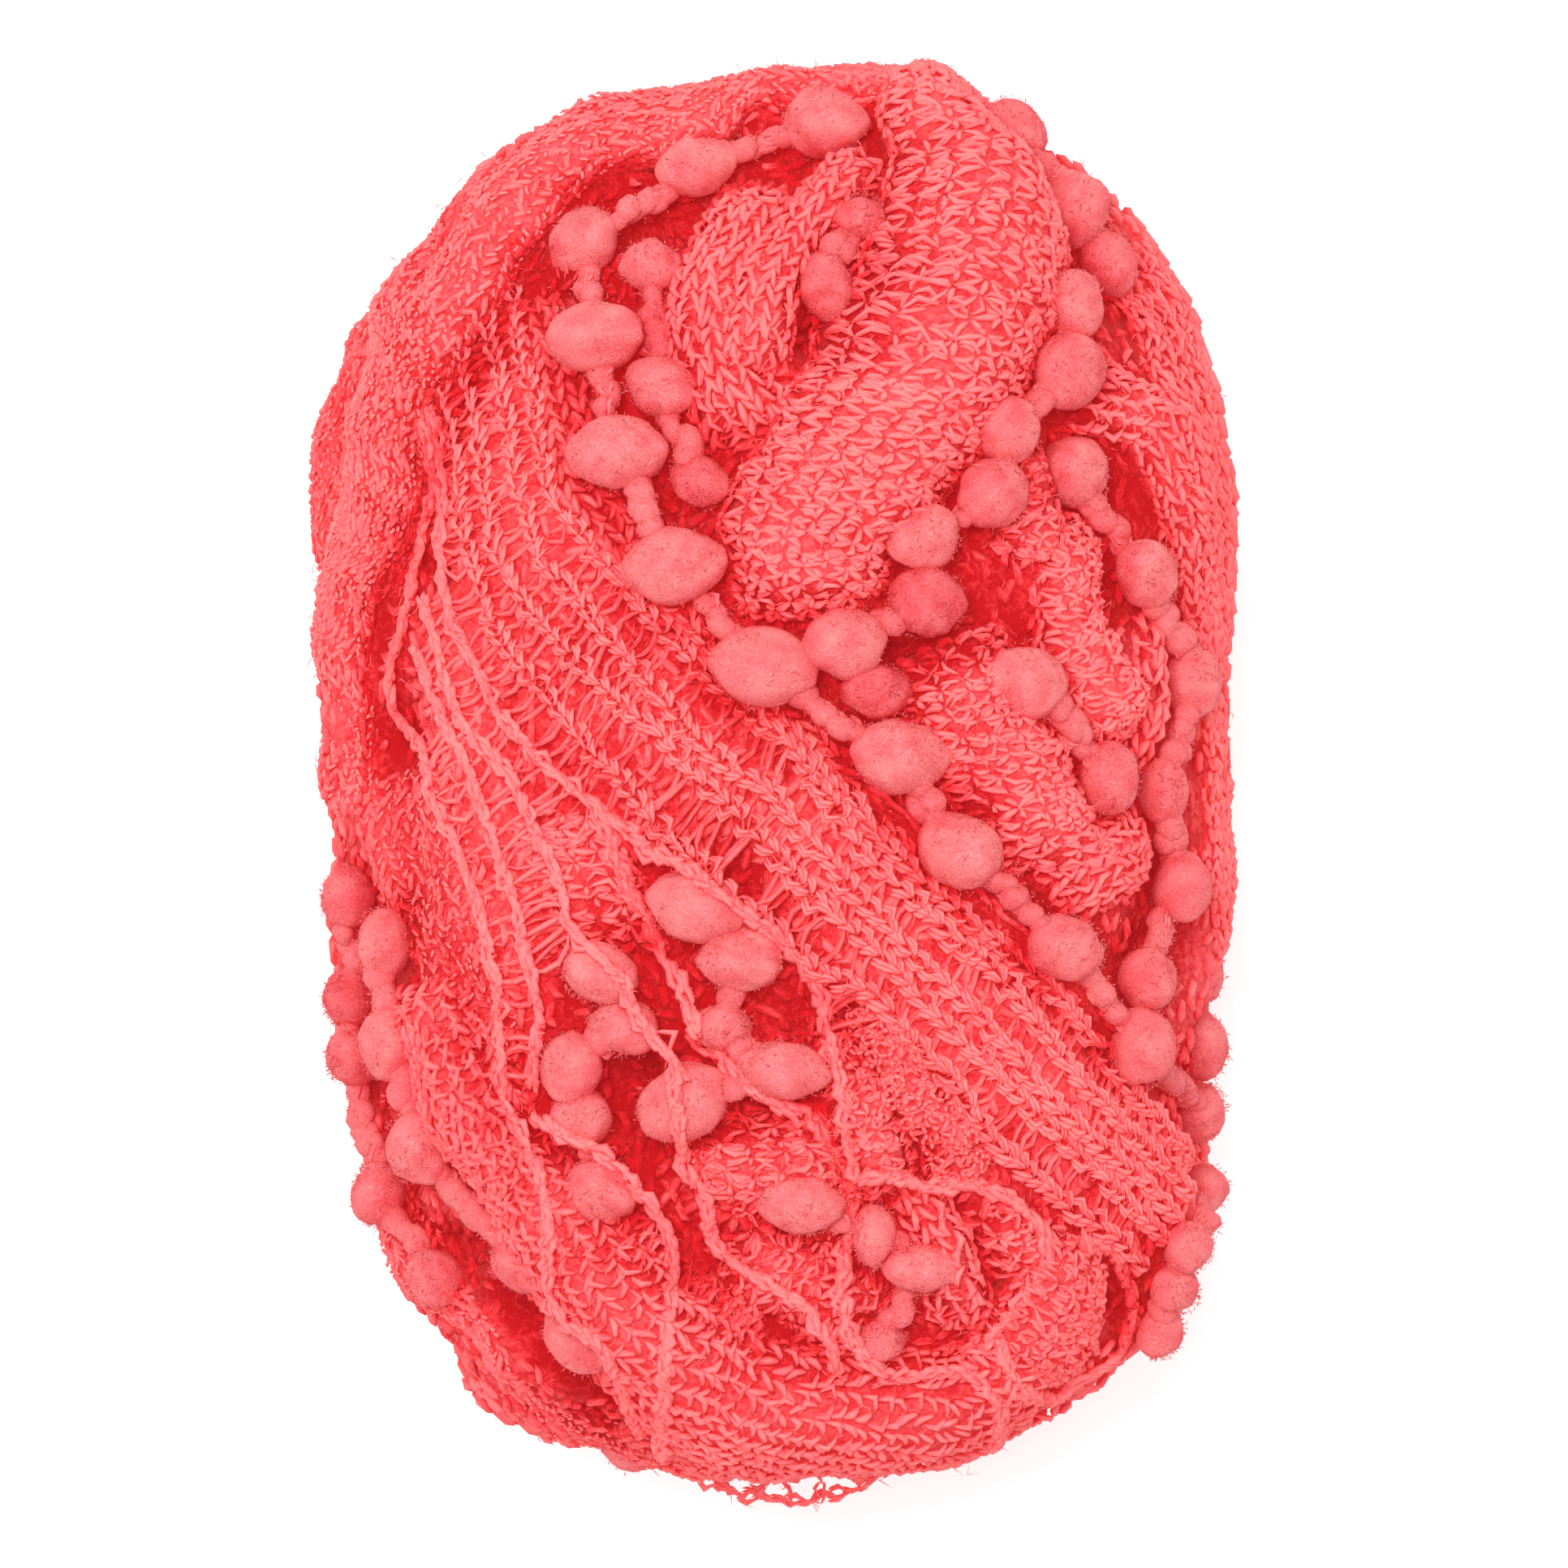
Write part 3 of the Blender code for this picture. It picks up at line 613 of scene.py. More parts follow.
class Ribbon:
    """A turn of knitted ribbon laid over the heap, with its own coordinates along and across."""

    def __init__(self, left, right, lift=(0.6, 0.6), rise=1.4, wave=(0.0, 10.0, 1), bulge=0.0):
        width = np.linalg.norm(left - right, axis=1).mean()
        run = lengths_along((left + right) / 2)[-1]
        self.rows = max(4, round(run / STRAP_CELL))
        self.columns = max(5, round(width / STRAP_CELL))
        left, right = smooth_curve(left, self.rows), smooth_curve(right, self.rows)
        share = np.linspace(0.0, 1.0, self.columns)
        outward = unit(left - right)
        left = left + outward * RAGGED * ripple(left, RAGGED_WAVE, self.rows)[:, None]
        right = right - outward * RAGGED * ripple(right, RAGGED_WAVE, self.rows + 1)[:, None]
        flat = left[:, None] * (1 - share[:, None]) + right[:, None] * share[:, None]
        flat = flat.reshape(-1, 3)
        cores, ways = from_core(flat)
        contact = reaches(HEAP.tree, flat).reshape(self.rows, self.columns)
        reach = contact.copy()
        for _ in range(STRAP_PULLS):
            padded = np.pad(reach, 1, mode="edge")
            beside = (padded[:-2, 1:-1] + padded[2:, 1:-1] + padded[1:-1, :-2]
                      + padded[1:-1, 2:]) / 4
            reach = np.maximum(contact, beside)
        size, length, seed = wave
        reach = reach + size * (ripple(flat, length, seed).reshape(reach.shape) - 1.0)
        crown = 1.0 - np.abs(2 * share - 1) ** 3
        row = np.arange(self.rows)
        ends = np.minimum(1.0, np.minimum(row, row[::-1]) / 3)
        height = lift[0] * (1 - share) + lift[1] * share + rise * crown
        facing = ways[:, 2].reshape(reach.shape)
        stand = np.where(facing > 0, np.clip(facing * 1.7, 0.1, 1.0),
                         np.clip(-facing * 0.9, 0.1, 0.45))
        reach = reach + height[None, :] * (0.3 + 0.7 * ends[:, None]) * stand
        out = np.atleast_1d(bulge)
        out = np.interp(np.linspace(0, 1, self.rows), np.linspace(0, 1, len(out)), out)
        reach = reach + out[:, None] * (1.0 - (2 * share - 1) ** 2)[None, :]
        self.ways = ways.reshape(self.rows, self.columns, 3)
        self.grid = (cores + ways * reach.reshape(-1, 1)).reshape(self.rows, self.columns, 3)
        down_rows = np.gradient(self.grid, axis=0)
        over_columns = np.gradient(self.grid, axis=1)
        ups = unit(np.cross(down_rows, over_columns))
        turned = np.sign((ups * self.ways).sum(axis=2, keepdims=True))
        self.ups = ups * np.where(turned == 0, 1, turned)
        self.length = lengths_along(self.grid[:, self.columns // 2])[-1]
        self.width = np.linalg.norm(np.diff(self.grid, axis=1), axis=2).sum(axis=1).mean()

    def at(self, along, across, height=0.0):
        """Points and their ups at shares along and across the ribbon, and down its edges."""
        over = np.maximum(np.maximum(-across, across - 1.0), 0.0) * self.width
        row = np.clip(along, 0, 1) * (self.rows - 1)
        column = np.clip(across, 0, 1) * (self.columns - 1)
        i = np.minimum(row.astype(int), self.rows - 2)
        j = np.minimum(column.astype(int), self.columns - 2)
        a, b = (row - i)[:, None], (column - j)[:, None]
        point, up = [
            (g[i, j] * (1 - a) * (1 - b) + g[i + 1, j] * a * (1 - b)
             + g[i, j + 1] * (1 - a) * b + g[i + 1, j + 1] * a * b)
            for g in (self.grid, self.ups)]
        up = unit(up)
        last = np.where(across > 0.5, self.columns - 1, 0)
        inside = np.where(across > 0.5, self.columns - 2, 1)
        side = unit(self.grid[i, last] - self.grid[i, inside])
        point = (point + side * np.minimum(over, 0.5)[:, None]
                 - up * np.maximum(over - 0.3, 0.0)[:, None])
        turned = np.clip(over / 0.9, 0.0, 1.0)[:, None]
        up = unit(up * (1 - turned) + side * turned)
        return point + up * np.reshape(height, (-1, 1)), up

    def backing(self):
        """A closed strap under the stitches, its edges turned down."""
        shape = bmesh.new()
        bmesh.ops.create_grid(
            shape, x_segments=self.rows - 1, y_segments=self.columns - 1, size=1.0)
        places = self.grid - self.ups * STRAP_SINK
        for edge in (0, -1):
            places[:, edge] -= self.ways[:, edge] * EDGE_DROP
        flat = np.array([vert.co for vert in shape.verts])
        rows = np.rint((flat[:, 0] + 1) / 2 * (self.rows - 1)).astype(int)
        columns = np.rint((flat[:, 1] + 1) / 2 * (self.columns - 1)).astype(int)
        for vert, row, column in zip(shape.verts, rows, columns):
            vert.co = places[row, column]
        doubled = bmesh.ops.extrude_face_region(shape, geom=shape.faces[:])["geom"]
        sunk = [item for item in doubled if isinstance(item, bmesh.types.BMVert)]
        inward = from_core(np.array([vert.co for vert in sunk]))[1]
        for vert, way in zip(sunk, inward):
            vert.co -= Vector(way * STRAP_DEPTH)
        bmesh.ops.recalc_face_normals(shape, faces=shape.faces)
        return read_shape(shape)


def lay(left, right, ground=0.4, **options):
    """Lays a ribbon on the heap and adds its strap to it."""
    ribbon = Ribbon(left, right, **options)
    corners, triangles = ribbon.backing()
    STRAPS.add(corners, triangles, ground)
    HEAP.add(corners, triangles)
    HEAP.settle()
    COVER.add(corners, triangles)
    return ribbon


def lay_between(rows, tucks=(0.0, 0.0), **options):
    """Lays a ribbon between rows of left x, y and right x, y, its edges moved down by tucks."""
    edges = []
    for first, drop in zip((0, 2), tucks):
        edge = np.array([put(HEAP.tree, *row[first:first + 2]) for row in rows])
        edge[:, 2] -= drop
        edges.append(edge)
    return lay(*edges, **options)


def lay_along(route, width, side=UPPER, **options):
    """Lays a ribbon that wide with its middle on a route of x, y."""
    middle = np.array([put(HEAP.tree, x, y, side) for x, y in route])
    middle = smooth_curve(middle, max(4, round(lengths_along(middle)[-1] / 8)))
    ways = from_core(middle)[1]
    across = unit(np.cross(np.gradient(middle, axis=0), ways)) * width / 2
    return lay(middle - across, middle + across, **options)


# Knitted faces, drawn as legs on a ribbon's own coordinates: the spacing and radius of crimped
# loops, a cord's step and turn, and how far a rung reaches
CURL_GAP = 2.3
CURL_RADIUS = 0.95
CORD_STEP = 1.7
CORD_TURN = 7.0
RUNG_REACH = 9.0


def jitter(count, size):
    return RANDOM.normal(0.0, size, count)


def edging(strands, ribbon, shade=0.55):
    """Chained loops along both edges of a ribbon, and more stitches down its sides, painted darker
    there for shade.
    """
    count = max(3, round(ribbon.length / 1.7))
    along = (np.arange(count) + 0.5) / count
    for side in (-1, 1):
        for over, shift, painted_side_shade in ((0.0, 0.5, 0.0), (1.2, -0.5, 0.12)):
            across = np.full(count, 0.5 + side * (0.5 + over / ribbon.width))
            start, up = ribbon.at(along - 0.6 / count, across + jitter(count, 0.2) / ribbon.width)
            end, _ = ribbon.at(along + 0.6 / count, across + side * shift / ribbon.width)
            strands.legs(start, end, up, 0.9, bow=0.3, shade=shade - painted_side_shade, shape=PLAIN_LEG)


def star_face(strands, ribbon, column_gap=3.2, row_gap=2.3, width=0.8, shade=0.52, wild=1.0):
    """Stitches whose legs fan out from every crossing, like rows of small stars."""
    columns = max(2, round(ribbon.width / column_gap))
    rows = max(2, round(ribbon.length / row_gap))
    i, j, count = cells(rows + 1, columns + 1)
    node_along = (i + 0.5 * (j % 2) + jitter(count, 0.1 * wild)) / rows
    node_across = (j + jitter(count, 0.07 * wild)) / columns
    for down, over, share, high, odds in (
            (0.5, 1, 0.92, 0.35, 0.95), (0.5, -1, 0.92, 0.35, 0.95), (-0.5, 1, 0.7, 0.15, 0.8),
            (-0.5, -1, 0.7, 0.15, 0.8), (0.95, 0, 0.8, 0.3, 0.8), (0.05, 0.9, 0.8, -0.1, 0.6)):
        kept = RANDOM.random(count) < odds
        along, across = node_along[kept], node_across[kept]
        left = kept.sum()
        far = share * RANDOM.uniform(0.85, 1.15, left)
        down_there = (down + jitter(left, 0.14 * wild)) * far / rows
        over_there = (over + jitter(left, 0.1 * wild)) * far / columns
        start, up = ribbon.at(along + down_there * 0.1, across + over_there * 0.1, 0.05)
        end, _ = ribbon.at(along + down_there, across + over_there, -0.1)
        # Legs that stand higher are painted paler and low ones darker, a painted highlight and
        # shade
        strands.legs(start, end, up, width * RANDOM.uniform(0.8, 1.15, left),
                     bow=high + jitter(left, 0.12), shade=shade + high * 0.45,
                     shape=LEG if high > 0.2 else PLAIN_LEG)
    edging(strands, ribbon, shade)


def curl_face(strands, ribbon):
    """A fold covered with loops of crimped ply, each most of a ring that leans over."""
    columns = max(1, round(ribbon.width / CURL_GAP))
    rows = max(2, round(ribbon.length / CURL_GAP))
    i, j, count = cells(rows, columns)
    along = (i + 0.5 + jitter(count, 0.2)) / rows
    across = (j + 0.5 + jitter(count, 0.2)) / columns
    middles, ups = ribbon.at(along, across, 0.1)
    ahead, _ = ribbon.at(along + 0.5 / rows, across, 0.1)
    ways = unit(ahead - middles + 1e-6)
    over = unit(np.cross(ups, ways))
    first = RANDOM.uniform(0, 2 * math.pi, count)
    reach = CURL_RADIUS * RANDOM.uniform(0.75, 1.2, count)
    lean = RANDOM.uniform(0.2, 0.7, count)
    for k in range(6):
        ends = []
        for turn in (first + k * 0.92, first + (k + 1) * 0.92):
            ring = ways * np.cos(turn)[:, None] + over * np.sin(turn)[:, None]
            tall = ups * (0.4 + lean * (1 + np.cos(turn - first)) / 2)[:, None]
            ends.append(middles + (ring + tall) * reach[:, None])
        strands.legs(*ends, ups, 0.66, bow=0.08, shade=0.6, shape=PLAIN_LEG)


def dash_face(strands, ribbon, gap=1.25, shade=0.44, pale=0.3):
    """The close, brushed face: a smooth ground of flat legs, with short raised dashes on it painted
    pale as highlights.
    """
    wall = 1.6 / ribbon.width
    columns = max(3, round(ribbon.width * (1 + 2 * wall) / gap))
    rows = max(3, round(ribbon.length / gap))
    i, j, count = cells(rows, columns)
    dashed = RANDOM.random(count) < 0.5
    along = (i + 0.5 * (j % 2) + 0.25 + jitter(count, 0.14)) / rows
    across = (j + 0.5 + jitter(count, 0.12)) / columns * (1 + 2 * wall) - wall
    turn = np.where(j % 2 > 0, 0.5, -0.5) + jitter(count, 0.2)
    half = 1.15 * RANDOM.uniform(0.8, 1.2, count) * np.where(dashed, 0.46, 1.0)
    step = half * np.cos(turn) / ribbon.length
    side = half * np.sin(turn) / ribbon.width
    high = RANDOM.uniform(-0.1, 0.1, count) + np.where(dashed, 0.32, 0.0)
    start, up = ribbon.at(along - step, across - side, high - 0.25)
    end, _ = ribbon.at(along + step, across + side, high - 0.15)
    # Raised dashes painted paler, as highlights on the tops of the stitches
    strands.legs(start, end, up, np.where(dashed, 0.527, 0.9775), bow=0.2,
                 shade=shade + np.where(dashed, pale, 0.0), shape=PLAIN_LEG)


def seam(strands, ribbon, across, shade=0.8, width=1.0):
    """A row of soft legs along a ribbon, painted pale by default as a highlight where its crest
    catches the light.
    """
    count = max(3, round(ribbon.length / 1.6))
    along = (np.arange(count) + 0.5) / count
    start, up = ribbon.at(along - 0.8 / count, across + jitter(count, 0.02), 0.2)
    end, _ = ribbon.at(along + 0.8 / count, across + jitter(count, 0.02), 0.2)
    strands.legs(start, end, up, width, bow=0.2, shade=shade, shape=PLAIN_LEG)


def along_strand(line, ups, where):
    """Places, ups and ways across at distances along a strand."""
    run = lengths_along(line)
    place, up, ahead, before = [
        values_at(source, run, where + shift)
        for source, shift in ((line, 0.0), (ups, 0.0), (line, 0.5), (line, -0.5))]
    up = unit(up)
    return place, up, unit(np.cross(up, unit(ahead - before)))


def rope(strands, line, ups, pitch=2.1, width=0.85, spread=0.55, shade=0.6, shape=ROPE_LEG):
    """A chain of stitches: pairs of legs that lean in and meet, each pair over the last."""
    length = lengths_along(line)[-1]
    count = max(2, round(length / pitch))
    at = (np.arange(count) + 0.5) * length / count + jitter(count, 0.12)
    tones = np.interp(at / length, np.linspace(0, 1, np.size(shade)), np.atleast_1d(shade))
    step = length / count
    for side in (-1, 1):
        ends = []
        for shift, out, low in ((-0.62, 1.0, -0.4), (0.68, 0.1, 0.1)):
            where = np.clip(at + shift * step + side * 0.08 * step, 0, length)
            place, up, across = along_strand(line, ups, where)
            ends.append(place + across * side * spread * out + up * low)
        strands.legs(*ends, up, width * RANDOM.uniform(0.85, 1.15, count), bow=0.4, shade=tones,
                     shape=shape, bend=side * spread * 0.3)


def twisted_cord(strands, line, ups, thick, shade):
    """A cord of three long soft plies that turn round each other."""
    length = lengths_along(line)[-1]
    count = max(3, round(length / CORD_STEP))
    at = (np.arange(count) + 0.5) * length / count
    for k in range(3):
        ends = []
        for shift in (-1.5, 1.5):
            where = np.clip(at + shift + jitter(count, 0.2), 0, length)
            place, up, across = along_strand(line, ups, where)
            turn = 2 * math.pi * (where / CORD_TURN + k / 3)
            ends.append(place + across * (np.cos(turn) * 0.5 * thick)[:, None]
                        + up * (np.sin(turn) * 0.4 * thick)[:, None])
        strands.legs(*ends, up, thick * RANDOM.uniform(0.9, 1.15, count), bow=0.15, shade=shade)


def rungs(strands, line, ups, other, pitch=2.2, width=0.7, lean=1.0, shade=0.46, sag=0.4):
    """Soft bent strands from one wale to the next."""
    length = lengths_along(line)[-1]
    count = max(2, round(length / pitch))
    place, up, _ = along_strand(line, ups, (np.arange(count) + 0.5) * length / count)
    away = np.linalg.norm(place[:, None, :] - other[None, :, :], axis=2)
    nearest = away.argmin(axis=1)
    inside = (away.min(axis=1) < RUNG_REACH) & (nearest > 0) & (nearest < len(other) - 1)
    place, up, nearest = place[inside], up[inside], nearest[inside]
    run = lengths_along(other)
    aim = np.clip(run[nearest] + lean + jitter(len(place), 0.3), 0, run[-1])
    foot = values_at(other, run, aim)
    bent = RANDOM.uniform(0.1, 0.5, len(place))
    strands.legs(place - up * 0.2, foot - up * 0.2, up, width, bow=-sag, shade=shade,
                 shape=RUNG, bend=bent)


def wale_face(strands, ribbon, gap=2.8, pitch=2.1, width=0.85, shade=0.58, spread=0.34,
              rung=True, shape=LEG):
    """Lengthwise wales side by side, with rungs between them."""
    count = max(2, round(ribbon.width / gap))
    along = np.linspace(0.0, 1.0, max(6, round(ribbon.length / 1.5)))
    lines = []
    for k in range(count):
        lines.append(ribbon.at(along, np.full(len(along), (k + 0.5) / count), 0.3))
        rope(strands, *lines[-1], pitch, width, spread=gap * spread, shade=shade, shape=shape)
    if rung:
        for (line, ups), (other, _) in zip(lines, lines[1:]):
            rungs(strands, line, ups, other)
    edging(strands, ribbon, np.mean(shade))


# Single strands draped over the heap, and how often each is pulled taut
DRAPE_PULLS = 20


def drape(points, lift):
    """A strand through points seen from above, hung taut over what it crosses."""
    rough = np.array([put(HEAP.tree, x, y) for x, y in points])
    line = smooth_curve(rough, max(4, round(lengths_along(rough)[-1] / 1.2)))
    cores, ways = from_core(line)
    contact = reaches(HEAP.tree, line) + lift
    reach = contact.copy()
    for _ in range(DRAPE_PULLS):
        beside = (np.r_[reach[:1], reach[:-1]] + np.r_[reach[1:], reach[-1:]]) / 2
        reach = np.maximum(contact, beside)
    for _ in range(2):
        reach = (np.r_[reach[:1], reach[:-1]] + 2 * reach + np.r_[reach[1:], reach[-1:]]) / 4
    return cores + ways * reach[:, None], ways


def pixels(*rows):
    """Rows of places measured on the photograph, as x and y from the ball's middle."""
    return ((np.reshape(rows, (-1, 2)) - (955, 964)) / (10, -10)).reshape(np.shape(rows))


# Painted shadows in grooves where one turn overhangs the next: route, half width and how much
# darker the painted shadow makes the tone
GROOVE_SHADOWS_PAINTED = [
    (pixels((690, 318), (651, 362), (627, 408), (603, 446), (568, 486), (548, 540), (540, 578),
            (530, 628), (508, 680), (474, 748)), 2.1, 0.42),
    (pixels((580, 1550), (632, 1612), (694, 1686), (766, 1752)), 3.4, 0.34),
    (pixels((556, 1120), (572, 1200), (584, 1290), (604, 1380)), 2.4, 0.16),
]


# The ball under the turns, and the deep hollows between them: x, y, radius and depth
HOLLOWS = [
    (-30.0, -66.0, 7.0, 7.0), (-21.0, -76.0, 6.0, 6.0), (-37.0, -56.0, 5.0, 5.0),
    (-42.0, 26.0, 4.0, 3.0), (-46.0, 6.0, 4.0, 4.0), (-18.0, 70.0, 7.0, 5.0),
    (5.5, 54.0, 5.0, 7.0), (15.5, 15.4, 5.0, 6.0), (47.0, -20.0, 5.0, 7.0),
    (-17.0, -36.6, 7.5, 9.0), (-26.0, -72.0, 8.0, 4.0), (-14.0, 30.0, 6.0, 3.0),
    (37.0, 36.0, 7.0, 4.0), (-10.0, 68.0, 6.0, 4.0), (-20.0, 16.0, 8.0, 2.0),
    (38.0, 22.0, 6.0, 4.0), (8.0, -30.0, 8.0, 4.0), (-2.0, -44.0, 8.0, 4.0),
    (-9.0, -56.0, 7.0, 3.0), (5.0, -63.0, 7.0, 3.0), (9.6, -30.7, 3.5, 4.0),
    (11.6, -37.0, 3.5, 4.0), (15.0, -40.5, 3.5, 4.0), (17.8, -45.0, 3.5, 4.0),
    (21.3, -51.0, 3.5, 4.0), (24.2, -56.0, 3.5, 4.0), (42.0, -62.0, 5.0, 4.0),
    (30.0, -77.0, 6.0, 3.0), (0.0, 100.0, 45.0, 2.6), (-42.0, -70.5, 7.0, 3.2),
]


def pressed(corners):
    """The ball's corners with the hollows pressed in."""
    sunk = corners.copy()
    ways = from_core(corners)[1]
    for x, y, radius, depth in HOLLOWS:
        away = np.hypot(corners[:, 0] - x - MIDDLE[0], corners[:, 1] - y - MIDDLE[1]) / radius
        share = np.clip(1.0 - away**2, 0.0, 1.0) ** 1.5
        share *= np.clip((corners[:, 2] - MIDDLE_HEIGHT) / 12 + 1.0, 0.0, 1.0)
        sunk -= ways * (share * depth)[:, None]
    return sunk


HEAP = Heap()
COVER = Heap()
BALL_CORNERS, BALL_TRIANGLES = read_shape(smoothed_ball())
BALL_CORNERS = pressed(BALL_CORNERS)
HEAP.add(BALL_CORNERS, BALL_TRIANGLES)
HEAP.settle()
BALL_TREE = HEAP.tree

STRAPS = Strands()


# Turns on the flanks and underneath: width, then the route as x, y
HIDDEN_TURNS = {
    "cross_under": (19.0, [
        (36.0, 66.0), (26.0, 42.0), (6.0, 14.0), (-18.0, -14.0), (-40.0, -40.0)]),
    "fan_under": (22.0, [
        (44.0, -60.0), (32.0, -48.0), (12.0, -26.0), (-10.0, -2.0), (-32.0, 22.0), (-46.0, 44.0)]),
    "left_side_turn": (17.0, [
        (-50.0, -12.0), (-49.0, -24.0), (-40.0, -44.0), (-18.0, -60.0), (8.0, -68.0)]),
    "top_end_turn": (19.0, [
        (20.0, 82.0), (8.0, 84.0), (-14.0, 77.0), (-36.0, 60.0), (-49.0, 34.0), (-51.0, 10.0),
        (-50.0, -12.0)]),
    "bottom_end_turn": (18.0, [
        (52.0, -30.0), (50.0, -44.0), (38.0, -62.0), (14.0, -75.0), (-14.0, -72.0),
        (-38.0, -54.0), (-50.0, -32.0)]),
    "right_side_turn": (19.0, [
        (42.0, 66.0), (50.0, 44.0), (51.0, 18.0), (50.0, -12.0), (46.0, -38.0)]),
}

FLANK_LEGS = Strands()
for name, (width, route) in HIDDEN_TURNS.items():
    rise = 0.0 if name == "top_end_turn" else 1.6
    bulge = (1.5, 1.5, 1.5, 1.5, 2.6, -0.6, 0.0) if name == "bottom_end_turn" else 0.0
    turn = lay_along(route, width, LOWER, lift=(0.2, 0.2), rise=rise, bulge=bulge)
    wale_face(FLANK_LEGS, turn, gap=4.2, pitch=2.8, width=1.8, shade=0.5, spread=0.42, rung=False,
              shape=PLAIN_LEG)

# The crumpled folds in the hollow at the top and on the right
FOLD_LEGS = Strands()
FOLDS = {
    "crumple_left": (11.0, pixels((940, 250), (885, 335), (875, 455), (925, 545))),
    "crumple_right": (7.5, pixels((1060, 215), (975, 315), (935, 415), (930, 470))),
    "right_tuck": (11.0, pixels((1290, 640), (1298, 740), (1328, 845), (1375, 930))),
    "deep_tuck": (5.0, pixels((1395, 760), (1405, 830), (1400, 900), (1385, 950))),
    "small_tuck": (10.0, pixels((1400, 1030), (1335, 1075), (1275, 1115))),
    "net_slope": (8.0, pixels((1000, 1250), (1030, 1310), (1062, 1370), (1098, 1445))),
    "curly_fold": (6.5, pixels(
        (1066, 1236), (1092, 1290), (1126, 1345), (1164, 1395), (1196, 1434))),
    "rope_fold": (6.0, pixels((1120, 1455), (1150, 1530), (1180, 1620))),
    "stipple_fold": (6.0, pixels((1212, 1476), (1242, 1540), (1262, 1610))),
    "low_net_fold": (9.0, pixels((880, 1380), (930, 1430), (1000, 1450), (1040, 1480))),
    "net_floor": (13.0, pixels((700, 1420), (740, 1500), (800, 1590), (900, 1660))),
    "pocket_floor": (11.0, pixels((905, 1520), (985, 1560), (1080, 1610))),
    "right_floor": (9.0, pixels((1200, 560), (1255, 610), (1262, 690))),
}
for name, (width, route) in FOLDS.items():
    fold = lay_along(route, width, lift=(0.8, 0.8), rise=3.4, wave=(0.7, 9.0, len(name)))
    if name in ("curly_fold", "low_net_fold"):
        curl_face(FOLD_LEGS, fold)
        star_face(FOLD_LEGS, fold, shade=0.35, wild=2.0)
    elif name in ("crumple_left", "crumple_right", "deep_tuck", "small_tuck", "rope_fold"):
        wale_face(FOLD_LEGS, fold, gap=3.0, pitch=2.2, width=1.0)
    else:
        # Floors and the folds under the net are painted darker, for the shade they lie in
        star_face(FOLD_LEGS, fold, column_gap=2.8, row_gap=2.1, wild=2.0,
                  shade=0.38 if "floor" in name or "net" in name else 0.5)

centre_tuck = lay_along(
    pixels((1140, 800), (1200, 900), (1262, 985), (1262, 1070)), 16.0, lift=(0.8, 0.8), rise=4.0)
star_face(FOLD_LEGS, centre_tuck, column_gap=3.0, row_gap=2.2, wild=1.4)
dome = lay_along(
    pixels((1330, 1530), (1290, 1590), (1240, 1680)), 15.0, lift=(0.8, 0.8), rise=3.4)
star_face(FOLD_LEGS, dome, column_gap=2.6, row_gap=2.0, wild=1.6, shade=0.37)
star_patch = lay_between(pixels(
    (850, 1350, 1010, 1340), (860, 1400, 1020, 1400), (880, 1460, 1030, 1460)),
    lift=(0.8, 0.8), rise=2.0)
star_face(FOLD_LEGS, star_patch, wild=1.4, shade=0.42)
left_column = lay_between(pixels(
    (445, 960, 560, 930), (455, 1040, 580, 1010), (480, 1110, 605, 1090), (515, 1190, 625, 1180),
    (555, 1290, 645, 1280), (600, 1380, 665, 1360)),
    lift=(0.6, 0.6), rise=2.0, wave=(0.5, 12.0, 8))
dash_face(FOLD_LEGS, left_column)
under_net = lay_between(pixels(
    (640, 1010, 760, 1000), (680, 1100, 800, 1080), (700, 1180, 830, 1160)),
    lift=(0.4, 0.4), rise=1.4)
star_face(FOLD_LEGS, under_net, wild=1.4)

# The knit at the lower left and round the bottom
lower_left = lay_between(pixels(
    (487, 1245, 585, 1200), (527, 1337, 630, 1310), (594, 1427, 680, 1385),
    (650, 1520, 750, 1450), (715, 1620, 825, 1540), (800, 1725, 880, 1590),
    (930, 1785, 990, 1640), (1100, 1795, 1140, 1650), (1270, 1755, 1230, 1640)),
    tucks=([0, 0, 0, 0, 0, 0, 3, 6, 8], 0.0), lift=(1.6, 0.8), rise=3.6,
    wave=(0.8, 12.0, 3), bulge=(0, 0, 0, 0, 0, 0, 0, 1.0, 1.5))
LOWER_LEGS = Strands()
wale_face(LOWER_LEGS, lower_left, gap=3.2, pitch=1.8, width=0.95,
          shade=(0.42, 0.4, 0.42, 0.56, 0.62, 0.6), spread=0.5, rung=False)

bottom_left = lay_between(pixels(
    (430, 1400, 520, 1440), (490, 1570, 556, 1525), (592, 1672, 622, 1625),
    (660, 1760, 705, 1722), (765, 1812, 805, 1775), (900, 1820, 905, 1795)),
    tucks=(14.0, 0.0), lift=(0.0, 1.2), rise=1.2, bulge=(0, 0.9, -2.0, -1.0, 2.4, 2.8))
dash_face(LOWER_LEGS, bottom_left, shade=0.52)

# The middle band
BAND_LEGS = Strands()
middle_band = lay_between(pixels(
    (1090, 86, 1150, 100), (1085, 150, 1244, 176), (1090, 230, 1285, 260), (1060, 320, 1290, 350),
    (1010, 420, 1270, 450), (960, 520, 1210, 550), (905, 600, 1150, 630), (895, 690, 1095, 700),
    (915, 760, 1060, 770)),
    lift=(0.9, 0.9), rise=4.0)
star_face(BAND_LEGS, middle_band, column_gap=3.2, row_gap=2.2, width=0.9, shade=0.54)

